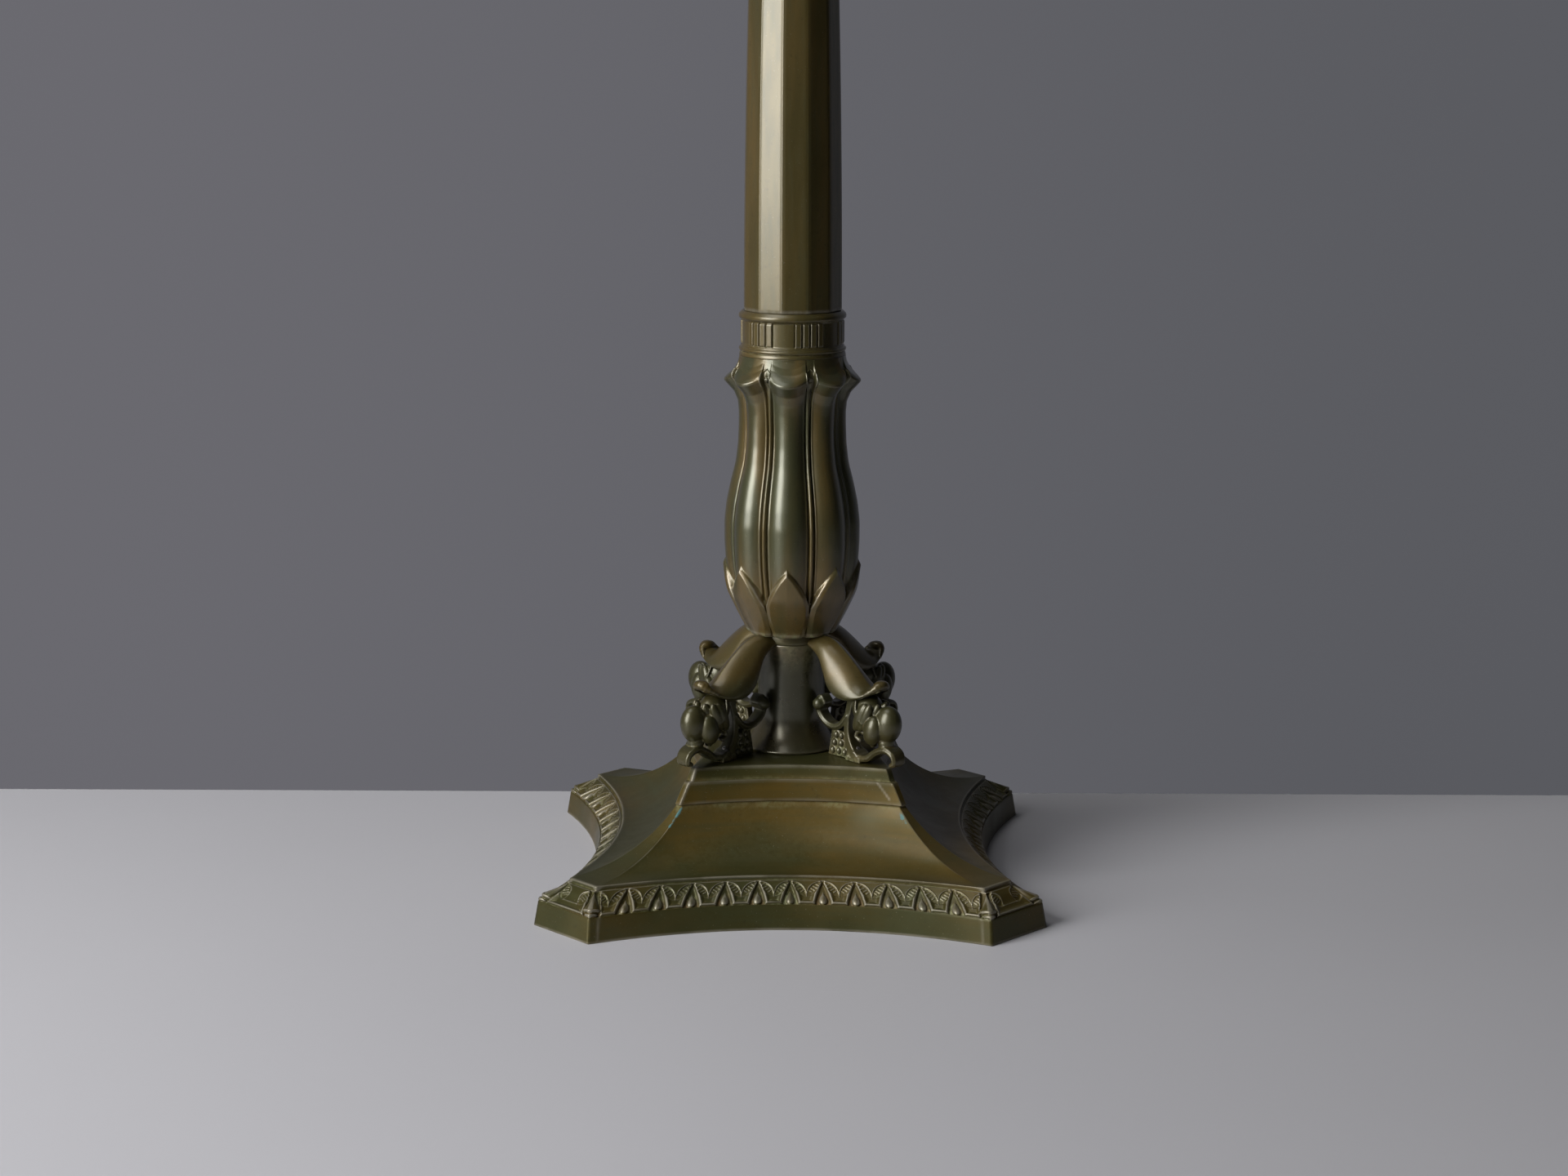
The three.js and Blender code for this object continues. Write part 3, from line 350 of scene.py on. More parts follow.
def patinated(name, dark, warm, streak=(1, 1, 1), crust_gain=1.0, worn_gain=1.0, gloss=0.38, coat=0.5, shine=0.5,
              metallic=0.48, brush=0.0):
    """Patinated bronze under wax: soft clouds, crust in hollows, thin rubbed ridges and teal patches, with the painted
    highlights that a piece's fields carry.
    """
    p = Paint(name)
    broad = p.noise(15, 3, 0.5, streak)
    middle = p.noise(60, 4, 0.55, streak, 0.3)
    fine = p.noise(420, 5, 0.6)
    specks = p.noise(1300, 2, 0.5)
    lines = p.noise(1, 3, 0.6, (14, 14, 420))
    cloud = p.plus(broad, p.times(p.field("warm"), 0.3))
    colour = p.mix(p.ramp(cloud, 0.38, 0.72), dark, warm)
    colour = p.mix(p.ramp(middle, 0.42, 0.75, 0, 0.35), colour, MOSS)
    colour = p.mix(p.ramp(lines, 0.4, 0.75, 0, brush), colour, MOSS)
    colour = p.mix(p.ramp(fine, 0.55, 0.8, 0, 0.3), colour, SOOT)
    colour = p.mix(p.ramp(specks, 0.69, 0.76, 0, 0.5), colour, PALE_SPECK)
    # The stain field paints a pale highlight; only the base's front carries one
    stain = p.times(p.field("stain"), p.ramp(middle, 0.3, 0.6, 0.3, 1.0))
    worn = p.times(p.field("worn"), p.ramp(middle, 0.28, 0.62, 0.35, 1.0))
    worn = p.times(worn, worn_gain, True)
    crust = p.times(p.field("deposit"), p.ramp(fine, 0.34, 0.6, 0.25, 1.2))
    crust = p.times(crust, crust_gain, True)
    crust_colour = p.mix(p.ramp(middle, 0.35, 0.65), CRUST, BROWN_CRUST)
    teal = p.ramp(p.plus(p.field("patch"), p.times(fine, 1.6)), 1.45, 1.75, 0, 0.85)
    # In turn: pale painted highlight, rubbed metal with painted highlights, crust, teal
    for share, over in ((stain, PAINTED_PALE_HIGHLIGHT), (worn, GLEAM), (crust, crust_colour), (teal, TEAL)):
        colour = p.mix(share, colour, over)
    covered = p.sum("MAXIMUM", crust, teal)
    metal = p.sum("SUBTRACT", metallic, p.times(covered, metallic), True)
    rough = p.ramp(middle, 0.3, 0.75, gloss - 0.03, gloss + 0.08)
    rough = p.sum("SUBTRACT", rough, p.times(worn, 0.1))
    rough = p.plus(rough, p.times(covered, 0.35), True)
    p.relief(p.plus(p.times(fine, 0.7), p.times(specks, 0.3)), 0.12, 0.0003)
    return p.set(
        Base_Color=colour, Metallic=metal, Roughness=rough, Specular_Tint=rgb(0.6, 0.6, 0.6), Specular_IOR_Level=shine,
        Coat_Weight=coat, Coat_Roughness=0.27, Coat_IOR=1.5,
    )


def turned_metal(name, colour, stain, rough=0.28, lines=2600):
    """Machined metal with fine turning lines and tarnish."""
    p = Paint(name)
    broad = p.noise(60, 5, 0.6)
    grooves = p.noise(1, 3, 0.6, (30, 30, lines))
    shade = p.mix(p.ramp(broad, 0.4, 0.72), colour, stain)
    shade = p.mix(p.ramp(p.noise(300, 5, 0.65), 0.55, 0.75, 0, 0.4), shade, stain)
    p.relief(grooves, 0.12, 0.0002)
    return p.set(Base_Color=shade, Metallic=0.95, Roughness=p.ramp(broad, 0.3, 0.75, rough, rough + 0.2))


def porcelain(name, colour, stain, rough):
    """Glaze over clay with faint crackle and grime."""
    p = Paint(name)
    p.relief(p.noise(90, 3), 0.08, 0.0005)
    shade = p.mix(p.ramp(p.noise(260, 5), 0.5, 0.8), colour, stain)
    gloss = p.ramp(p.noise(120, 3), 0.3, 0.7, rough, rough + 0.1)
    return p.set(Base_Color=shade, Roughness=gloss, Coat_Weight=0.6, Coat_Roughness=0.05)


def braided(name, colour, light):
    """Cotton yarn with fine fibres."""
    p = Paint(name)
    yarn = p.noise(2600, 3, 0.6, (1, 1, 0.4))
    p.relief(yarn, 0.5, 0.0003)
    shade = p.mix(p.ramp(yarn, 0.3, 0.7), colour, light)
    shade = p.mix(p.ramp(p.noise(60, 3), 0.4, 0.8, 0, 0.5), shade, colour)
    return p.set(Base_Color=shade, Roughness=0.9, Sheen_Weight=0.4)


def blown_glass(name, colour):
    """Clear glass with faint waves and smears."""
    p = Paint(name)
    p.relief(p.noise(40, 2), 0.03, 0.0005)
    rough = p.ramp(p.noise(90, 4), 0.5, 0.9, 0.015, 0.09)
    return p.set(Base_Color=colour, Roughness=rough, Transmission_Weight=1.0, IOR=1.45)


PLINTH_PATINA = patinated(
    "plinth_patina", rgb(0.044, 0.041, 0.011), rgb(0.104, 0.067, 0.013), coat=0.28, shine=0.2, metallic=0.4, brush=0.3
)
PETAL_PATINA = patinated(
    "petal_patina", rgb(0.060, 0.060, 0.024), rgb(0.122, 0.080, 0.020), (6, 6, 0.8), 0.8, 0.4, 0.36, 1.0
)
FOOT_PATINA = patinated(
    "foot_patina", rgb(0.050, 0.046, 0.020), rgb(0.085, 0.062, 0.022), worn_gain=0.3, gloss=0.28, coat=1.0, shine=0.7,
    metallic=0.62,
)
SCROLL_PATINA = patinated(
    "scroll_patina", rgb(0.050, 0.046, 0.017), rgb(0.088, 0.060, 0.015), worn_gain=0.4, coat=0.7, shine=0.4
)
COLUMN_PATINA = patinated(
    "column_patina", rgb(0.075, 0.058, 0.014), rgb(0.120, 0.080, 0.020), (5, 5, 0.7), 0.8, 0.4, 0.4, 1.0
)
BRASS = turned_metal("aged_brass", rgb(0.42, 0.30, 0.12), rgb(0.20, 0.13, 0.055))
STEEL = turned_metal("dull_steel", rgb(0.30, 0.29, 0.27), rgb(0.12, 0.09, 0.07), 0.36)
WIRE = turned_metal("filament_wire", rgb(0.22, 0.20, 0.18), rgb(0.10, 0.09, 0.08), 0.45)
SOLDER = turned_metal("solder", rgb(0.42, 0.42, 0.41), rgb(0.22, 0.21, 0.20), 0.4)
CAP_METAL = turned_metal("cap_metal", rgb(0.56, 0.47, 0.28), rgb(0.34, 0.26, 0.14), 0.26)
PORCELAIN = porcelain("glazed_porcelain", rgb(0.80, 0.77, 0.69), rgb(0.62, 0.57, 0.47), 0.14)
BLACK_GLASS = porcelain("black_glass", rgb(0.012, 0.012, 0.014), rgb(0.03, 0.028, 0.025), 0.1)
LEAD = braided("braided_lead", rgb(0.20, 0.14, 0.06), rgb(0.36, 0.27, 0.13))
GLASS = blown_glass("clear_glass", rgb(0.97, 0.98, 0.97))


# Base: its outline at a height is a square with hollow sides and cut corners

BASE_FOOT = (0.0, 120.0, 27.4, 21.7)
PLINTH_TOP = (11.6, 117.9, 25.8, 21.7)
FRIEZE_TOP = (20.2, 103.7, 13.2, 18.4)
FILLET = (20.3, 103.1, 13.2, 18.4)
FILLET_TOP = (22.3, 103.1, 13.2, 18.4)
BODY_FOOT = (22.4, 101.9, 13.2, 18.4)
BODY_TOP = (47.3, 54.6, 2.6, 9.2)
STEPS = [(47.6, 55.4, 2.2, 8.8), (57.7, 51.1, 2.2, 6.9), (58.0, 49.9, 2.2, 6.5), (64.0, 48.0, 2.2, 6.5)]
BODY_SAGITTA = 6.0
BASE_WALL = 5.0
CORNER_LOSS = 0.586
LEAVES = 12
LEAF_COLUMNS = 60
CHAMFER_COLUMNS = 104
COARSE = 4
CHAMFER_FOOT = 36.5
CHAMFER_TOP = 18.7


def outline_ring(section, side_columns, chamfer_columns):
    """Points of one outline, counter-clockwise from the front's left arris."""
    z, half, chamfer, hollow = section
    flat = half - chamfer
    s = np.linspace(-1, 1, side_columns + 1)[:-1]
    side = np.stack([s * flat, -(half - hollow * (1 - s**2))], -1)
    t = np.linspace(0, 1, chamfer_columns + 1)[:-1]
    corner = np.stack([flat + chamfer * t, -half + chamfer * t], -1)
    quarter = np.vstack([side, corner])
    ring = np.vstack([rotated(quarter, turn * math.pi / 2) for turn in range(4)])
    return np.column_stack([ring, np.full(len(ring), z)])


def body_arc(rows):
    """The concave body between its foot and its top, as an arc."""
    foot, top = np.array(BODY_FOOT), np.array(BODY_TOP)
    rise, run = top[0] - foot[0], foot[1] - top[1]
    chord = math.hypot(rise, run)
    radius = (chord**2 / 4 + BODY_SAGITTA**2) / (2 * BODY_SAGITTA)
    sweep = 2 * math.asin(chord / (2 * radius))
    sections = []
    for at in np.linspace(-sweep / 2, sweep / 2, rows):
        along = chord / 2 + radius * math.sin(at)
        drop = radius * math.cos(at) - (radius - BODY_SAGITTA)
        half = foot[1] - along * run / chord - drop * rise / chord
        z = foot[0] + along * rise / chord - drop * run / chord
        share = (foot[1] - half) / run
        sections.append((z, half, *(foot[2:] + (top[2:] - foot[2:]) * share)))
    return sections


def distance_to_line(x, y, start, end):
    start, end = np.array(start), np.array(end)
    way = end - start
    t = np.clip(((x - start[0]) * way[0] + (y - start[1]) * way[1]) / (way @ way), 0, 1)
    return np.hypot(x - start[0] - t * way[0], y - start[1] - t * way[1])


# The frieze: across one leaf u runs from dart to dart and w from the band's bottom to its top

PITCH = 15.2
BAND = 16.6
GROUND = -0.95
ARC_FOOT = 0.36
ARC_TOP = 0.93


def leaf_inside(x, w):
    """Distance inside a leaf; x is millimetres from the pocket's middle, which narrows to a point at its top."""
    rise = np.clip((w - 0.04) / 0.85, 0, 1)
    pocket = 3.5 * (1 - rise**1.1) ** 0.8
    return np.maximum(np.minimum(0.93 * (x - pocket), (w - 0.045) * BAND), (w - 0.9) * BAND)


def lobe_curve(x, bulge):
    """Share of the way down from a leaf's tip to the middle of its rim; x is millimetres from the dart."""
    t = np.clip((x - 0.5) / (PITCH / 2 - 0.5), 0, 1)
    return t, np.sqrt(np.clip(1 - t**bulge, 0, 1))


def lobe_relief(x, w):
    """A half lobe sunk between an arc and the leaf's rim, with four short ticks across it."""
    t, arc_share = lobe_curve(x, 2.2)
    arc = ARC_FOOT + (ARC_TOP - ARC_FOOT) * arc_share
    low = ARC_FOOT + (ARC_TOP - ARC_FOOT) * (1 - t) ** 2.6
    steep = np.hypot(1, (ARC_TOP - ARC_FOOT) * BAND / PITCH * 2.2 * t)
    above = (w - arc) * BAND / steep
    inside = np.minimum(-above, (w - low) * BAND * 0.75)
    height = 0.22 * bump(above, 0.1, 0.24) - 0.38 * smooth_step(inside, 0.0, 0.5)
    for at in (1.9, 3.15, 4.4, 5.6):
        t, arc_share = lobe_curve(at, 2.2)
        middle = ARC_FOOT + (ARC_TOP - ARC_FOOT) * (arc_share * 0.5 + 0.5 * (1 - t) ** 2.6)
        spot = np.array([at + 0.2, middle * BAND])
        way = np.array([0.80, 0.60]) * (1.45 - 0.1 * at)
        line = distance_to_line(x, w * BAND, spot - way, spot + way)
        height = height + 0.36 * bump(line, 0, 0.24)
    return height * smooth_step(0.97 - w, 0, 0.03)


def drop_relief(x, w, wide=2.05, belly=0.2, tip=0.6, proud=1.75):
    """A drop that hangs between two leaves; x is millimetres from its middle."""
    q = np.clip((w - belly) / (tip - belly), 0, 1)
    round_part = np.sqrt(np.clip(1 - ((belly - w) / (belly - 0.03)) ** 2, 0, 1))
    width = np.where(w < belly, round_part, np.cos(math.pi / 2 * q) ** 1.8)
    width = np.maximum(width * wide, 1e-3)
    return proud * np.sqrt(np.clip(1 - (x / width) ** 2, 0, 1)) * (width / wide) ** 0.7


def leaf_relief(inside, x, w):
    """A leaf's pillowed rim and its sunk lobes."""
    body = 1.5 * (1 - np.exp(-np.clip(inside, 0, None) / 0.5)) + 0.35 * bump(inside, 0.9, 0.7)
    body = body - 0.55 * smooth_step(inside, 1.1, 3.2) * smooth_step(0.75 - w, 0, 0.3)
    height = GROUND + np.where(inside > 0, body, 0)
    return height + lobe_relief(x, w) * smooth_step(inside, 0.5, 1.1)


def unit_relief(u, w):
    """Relief of one leaf with half a dart at each side."""
    x = np.minimum(u, 1 - u) * PITCH
    return np.maximum(leaf_relief(leaf_inside(x, w), x, w), GROUND + drop_relief(x, w))


def cone_relief(x, w):
    """The cone with two beads on an arris; x is millimetres from the arris."""
    share = np.clip((0.97 - w) / 0.68, 0, 1)
    width = 0.3 + 4.1 * share**1.15
    cone = 2.9 * np.sqrt(np.clip(1 - (x / width) ** 2, 0, 1)) * (0.25 + 0.75 * share) * (w > 0.27) * (w < 0.97)
    upper = 3.2 * np.sqrt(np.clip(1 - (x / 5.0) ** 2 - ((w - 0.23) / 0.085) ** 2, 0, 1))
    lower = 2.4 * np.sqrt(np.clip(1 - (x / 3.9) ** 2 - ((w - 0.09) / 0.075) ** 2, 0, 1))
    return np.maximum(np.maximum(cone, upper), lower)


def from_arris(v, w):
    """Millimetres from the nearer arris, across a cut corner."""
    return np.minimum(v, 1 - v) * (CHAMFER_FOOT + (CHAMFER_TOP - CHAMFER_FOOT) * w)


def chamfer_relief(v, w):
    """The wide leaf on a cut corner, with lobes at both ends; v runs across it from 0 to 1."""
    x = from_arris(v, w)
    return leaf_relief(leaf_inside(x * 0.8, w), x / 1.3, w)


def frieze_relief(rows):
    """Relief heights of the whole band: rows up the band, columns round the base."""
    w = np.linspace(0, 1, rows)[:, None]
    u = (np.arange(LEAF_COLUMNS) / LEAF_COLUMNS)[None]
    side = np.tile(unit_relief(u, w), (1, LEAVES))
    v = (np.arange(CHAMFER_COLUMNS) / CHAMFER_COLUMNS)[None]
    corner = chamfer_relief(v, w)
    side_x = np.arange(LEAVES * LEAF_COLUMNS) / LEAF_COLUMNS
    side_x = np.minimum(side_x, LEAVES - side_x)[None] * PITCH
    corner_x = from_arris(v, w)
    quarter = np.concatenate([side, corner], 1)
    x = np.concatenate([np.repeat(side_x, rows, 0), corner_x], 1)
    moat = 2.0 + 2.4 * np.clip(0.9 - w, 0, 1)
    quarter = GROUND + (quarter - GROUND) * smooth_step(x, moat, moat + 1.2)
    quarter = np.maximum(quarter, GROUND + cone_relief(x, w))
    ledge = -0.15 + 0.3 * smooth_step(0.045 - w, 0, 0.03)
    quarter = np.where(w < 0.045, np.maximum(quarter, ledge), quarter)
    fade = smooth_step(w, 0, 0.015) * (1 - smooth_step(w, 0.975, 1.0))
    return np.tile(quarter * fade, (1, 4))


def push_out(grid, height):
    """Moves a closed grid of points along its own normals."""
    across = np.roll(grid, -1, 1) - np.roll(grid, 1, 1)
    up = np.gradient(grid, axis=0)
    normal = np.cross(across, up)
    normal /= np.linalg.norm(normal, axis=2, keepdims=True)
    return grid + normal * height[..., None]


def inset(section, inward, down):
    """A section moved inwards and down; its cut corner gets shorter."""
    z, half, chamfer, hollow = section
    return (z - down, half - inward, max(chamfer - CORNER_LOSS * inward, 1), hollow)


def base_sections():
    """Outline sections from the middle of the cavity's roof down, round the rim and up to the plateau."""
    slant = 0.75 * BASE_WALL
    roof = inset(STEPS[-1], BASE_WALL, BASE_WALL)
    inner = [(roof[0], 12, 0.6, 1.5), (roof[0], 30, 1.0, 4.0), roof]
    inner += [inset(section, slant, slant) for section in (*reversed(body_arc(13)), FRIEZE_TOP)]
    inner += [inset(PLINTH_TOP, BASE_WALL, BASE_WALL), inset(BASE_FOOT, BASE_WALL, 0)]
    upper = [FRIEZE_TOP, FILLET, FILLET_TOP, BODY_FOOT]
    steps = [BODY_TOP, *STEPS, (STEPS[-1][0], 30, 1.4, 4.0), (STEPS[-1][0], 18, 1.0, 2.0)]
    outside = rounded([inner[-1], BASE_FOOT, PLINTH_TOP], 0.5, 1.0)[-16:]
    below = np.vstack([rounded([*inner, BASE_FOOT], 0.5, 3.0)[:-1], outside])
    above = np.vstack([rounded(upper, 0.35, 1.2)[:-1], body_arc(44)[:-1], rounded(steps, 0.55, 1.6)])
    return below, above


def base_solid():
    """Coarse rings below and above the frieze's fine ones, joined by many-sided faces."""
    fine = (LEAVES * LEAF_COLUMNS, CHAMFER_COLUMNS)
    coarse = (fine[0] // COARSE, fine[1] // COARSE)
    rows = 64
    share = np.linspace(0, 1, rows)[:, None]
    band = np.array(PLINTH_TOP) * (1 - share) + np.array(FRIEZE_TOP) * share
    band = np.array([outline_ring(section, *fine) for section in band])
    band = push_out(band, frieze_relief(rows))
    below, above = base_sections()
    low = np.array([outline_ring(section, *coarse) for section in below])[:-1]
    high = np.array([outline_ring(section, *coarse) for section in above])[1:]
    slow, fast = 4 * sum(coarse), 4 * sum(fine)
    points = np.vstack([*(part.reshape(-1, 3) for part in (low, band, high)), low[0].mean(0), high[-1].mean(0)])
    band_at = len(low) * slow
    high_at = band_at + rows * fast
    last_low, last_band, last_high = band_at - slow, high_at - fast, high_at + (len(high) - 1) * slow
    quads = [sheet_faces(0, len(low), slow), sheet_faces(band_at, rows, fast), sheet_faces(high_at, len(high), slow)]
    k = np.arange(slow)
    n = (k + 1) % slow
    many = [(COARSE * k + j) % fast for j in range(COARSE + 1)]
    joints = [
        np.stack([last_low + k, last_low + n, *[band_at + m for m in reversed(many)]], -1),
        np.stack([*[last_band + m for m in many], high_at + n, high_at + k], -1),
    ]
    fans = [fan_faces(len(points) - 2, 0, slow, False), fan_faces(len(points) - 1, last_high, slow, True)]
    return points, [np.concatenate(part) for part in (quads, joints, fans)]


def build_base():
    arris = np.array([(z, half - chamfer) for z, half, chamfer, _ in [PLINTH_TOP, *body_arc(9), *STEPS]])

    def extra(co, fields):
        x, y, z = co.T
        front = (y < 0) & (np.abs(y) > np.abs(x) - 2)
        along = np.minimum(np.abs(x), np.abs(y))
        inward = np.interp(z, *arris.T) - np.abs(x)
        frieze = (z > 11.2) & (z < 20.6)
        deposit = fields["deposit"] * np.where(frieze, 0.3 + 0.7 * smooth_step(16.5 - z, 0, 4), 0.3)
        left_streak = bump(inward, 0.4, 1.2) * smooth_step(z, 37.5, 39.5) * smooth_step(48 - z, 0, 1) * (x < 0)
        right_drop = bump(inward, 1.7, 2.0) * bump(z, 42.2, 3.8) * (x > 0)
        # Painted highlights: a thin bright streak of reflection across step A on the right, and bright lines on the
        # steps' left arrises, the lit side
        streak_x = 41.5 + (57.5 - z) * 0.79
        painted_streak_highlight = bump(x, streak_x, 0.5) * smooth_step(z, 50, 51) * smooth_step(57.9 - z, 0, 0.5) * (x > 0)
        painted_arris_highlight = bump(inward, 0.2, 0.7) * (x < 0) * (z > 47.6)
        foot_edge = 0.6 * bump(z, 0.2, 0.5)
        plinth_line = bump(np.abs(x) - 0.958 * (BASE_FOOT[1] - BASE_FOOT[2] - z * 0.1), 0, 0.5) * 0.35
        share = np.where(z > 22.5, 0.25, np.where(z > 20.6, 0.5, 0.55))
        kept = np.where(z < 12.3, plinth_line, share * fields["worn"])
        worn = np.maximum(kept, np.maximum(painted_streak_highlight, painted_arris_highlight) * front)
        return {
            "deposit": deposit,
            "worn": np.maximum(worn, foot_edge),
            "patch": (left_streak + right_drop) * front,
            "warm": bump(along, 5, 42) * bump(z, 44, 9) + 0.8 * bump(along, 0, 36) * bump(z, 53, 5),
            # Painted highlight: a pale patch on the front's upper right, where the top light is mirrored
            "stain": 0.45 * front * bump(x, 38, 9) * bump(z, 41, 5),
        }

    nodes = ["base_plinth", "base_casting"]
    piece("base_casting", base_solid(), PLINTH_PATINA, wear=(8, 0.16, 0.13), extra=extra, replaces=nodes)


# Foot tube and collar

def build_foot():
    flare = [(16.6 + 8.0 * (1 - t) ** 2.2, PLATEAU + 1 + 16 * t) for t in np.linspace(0, 1, 12)]
    outline = [(13.6, PLATEAU), (23.6, PLATEAU), *flare, (16.6, COLLAR), (13.6, COLLAR)]

    def extra(co, fields):
        z = co[:, 2]
        crust = 0.34 * smooth_step(z, COLLAR - 16, COLLAR - 3) + 0.5 * bump(z, PLATEAU, 0.8)
        deposit = np.maximum(fields["deposit"] * 0.5, crust)
        return {"deposit": deposit, "worn": fields["worn"] * 0.4, "warm": 0.4 * bump(z, PLATEAU + 8, 10)}

    piece("foot_tube", turned(outline, 160, 0.5, 1.5), FOOT_PATINA, wear=(8, 0.3, 0.2), extra=extra)
    ring = [(5.1, COLLAR), (16.9, COLLAR), (17.1, COLLAR + 1.2), (16.9, URN - 0.6), (16.6, URN), (5.1, URN)]
    piece("collar_ring", turned(ring, 160, 0.5, 1.2), SCROLL_PATINA, wear=(4, 0.3, 0.3))


# Lotus urn

PETALS = 8
PETAL_TURN = math.radians(-4)
URN_OUTLINE = [
    (0, 20), (2, 20.6), (5.7, 22.6), (10.7, 25.2), (15.6, 27.5), (20.5, 29.8), (25.4, 31), (35, 32.5), (45, 33.1),
    (55, 33.1), (64.4, 32), (74, 30), (83.8, 27.5), (93, 26.4), (103, 26), (112.5, 26), (136, 25.8),
]
LIP_OUTLINE = [
    (-15, 0), (-10, 0.07), (-5.6, 0.34), (-2.4, 0.76), (-0.5, 1), (0.6, 1), (2.2, 0.8), (5, 0.36), (8, 0.1), (11, 0),
]
LIP_HEIGHT = 123.7
LIP_REACH = 7.2
LIP_DIP = 4.2
STEM_EDGE = 2.45
STEM_TOP = 130.0
WEDGE_TOP = 131.8
BEAD_HEIGHT = 126.4
SEPAL_TOP = 35.4
SEPAL_EDGE = [
    (-2, 6.6), (0, 7.0), (6, 9.0), (12, 10.3), (17, 10.6), (22, 9.3), (26, 7.3), (30, 4.7), (33, 2.3), (SEPAL_TOP, 0.0),
    (37.4, -2.2),
]


def soft_table(table, at, blur):
    """Linear table, smoothed over a length."""
    x, y = np.array(table, float).T
    offsets = np.linspace(-1, 1, 9) * blur
    weights = 1.05 - np.abs(np.linspace(-1, 1, 9))
    return sum(w * np.interp(at + o, x, y) for w, o in zip(weights, offsets)) / weights.sum()


def urn_radius(share, off, height):
    """Radius of the urn; share is 0 at a petal's middle and 1 at a stem, off is millimetres from that middle."""
    bare = soft_table(URN_OUTLINE, height, 3.0)
    away = (1 - share) * math.pi / PETALS * bare * np.sqrt(33 / bare)
    fade = np.interp(height, [0, 25, 100, 119, 125, 129], [0.1, 1, 1, 0.6, 0.25, 0])
    petal = 3.3 * np.clip(share / 0.81, 0, 1.1) ** 2.0 - 0.4 * bump(away, STEM_EDGE, 0.5)
    stem = 4.3 - 2.0 * np.sqrt(np.clip(1 - (away / 1.4) ** 2, 0, 1))
    edge = smooth_step(away, 1.65, 2.15)
    depth = stem * (1 - edge) + petal * edge

    lip_height = height - LIP_HEIGHT - LIP_DIP * share**2
    reach = LIP_REACH * (1 - 0.62 * share**2) * (1 - 0.45 * smooth_step(2.6 - away, 0, 0.8))
    radius = bare - depth * fade + reach * soft_table(LIP_OUTLINE, lip_height, 0.3)

    flank = np.interp(height, [STEM_TOP, WEDGE_TOP], [2.2, 0.0])
    window = smooth_step(height, 119, 122) * smooth_step(WEDGE_TOP + 0.4 - height, 0, 1)
    upright = smooth_step(height, 122.4, 123.4) * smooth_step(STEM_TOP + 0.8 - height, 0, 1.2)
    radius = radius - 0.35 * smooth_step(flank - away, -0.1, 0.35) * window
    radius = radius + (0.2 * window + 0.65 * upright) * bump(away, flank, 0.4)
    radius = radius + 1.5 * np.sqrt(np.clip(1 - (away / 1.15) ** 2 - ((height - BEAD_HEIGHT) / 1.3) ** 2, 0, None))

    inside = (soft_table(SEPAL_EDGE, height, 0.8) - off) * 0.82
    lift = smooth_step(inside, -0.2, 0.1)
    bevel = 0.5 + 1.45 * np.clip(inside / 1.9, 0, 1) ** 0.8 - 0.6 * smooth_step(height, 16, SEPAL_TOP)
    keel = 0.3 * np.exp(-np.clip(off, 0, None) / 5.5)
    return np.where(inside > -0.2, radius * (1 - lift) + (bare + bevel + keel) * lift, radius)


def build_urn():
    per_petal = 104
    u = np.linspace(-1, 1, per_petal + 1)[:-1]
    across = 0.5 * u + 0.5 * np.sin(math.pi / 2 * u)
    pitch = TAU / PETALS
    angle = (PETAL_TURN + pitch * (np.arange(PETALS)[:, None] + across[None] / 2)).ravel()
    share = np.tile(np.abs(across), PETALS)[None]
    heights = np.unique(np.concatenate([
        [0, 0.3, 0.8], np.arange(1.4, 34, 0.45), np.arange(34, 117.5, 1.0), np.arange(117.5, 135.4, 0.3), [135.7, 136],
    ]))
    h = heights[:, None]
    off = share * pitch / 2 * soft_table(URN_OUTLINE, h, 3.0)
    radius = urn_radius(share, off, h)
    radius = radius + np.interp(h, [0, 0.8, 2], [-0.9, -0.2, 0])

    def extra(co, fields):
        z = co[:, 2] - URN
        deposit = fields["deposit"] * np.interp(z, [0, 12, 34, 40, 118, 128], [1, 0.8, 0.35, 0.15, 0.15, 0])
        worn = fields["worn"] * smooth_step(134 - z, 0, 3)
        return {"deposit": np.maximum(deposit, 0.9 * bump(z, 0.4, 1.9)), "warm": 0.6 * bump(z, 18, 16), "worn": worn}

    rings = round_rings(radius, angle, URN + h)
    piece("lotus_urn", lofted(rings), PETAL_PATINA, wear=(9, 0.4, 0.32), extra=extra)


# Neck collar

NECK_RADIUS = 24.3
NECK_COLUMNS = 720
BAR_GROUPS = 6
BAR_PITCH = 3.75
BAR_HALF = 1.6
GROUP_HALF = 7.7


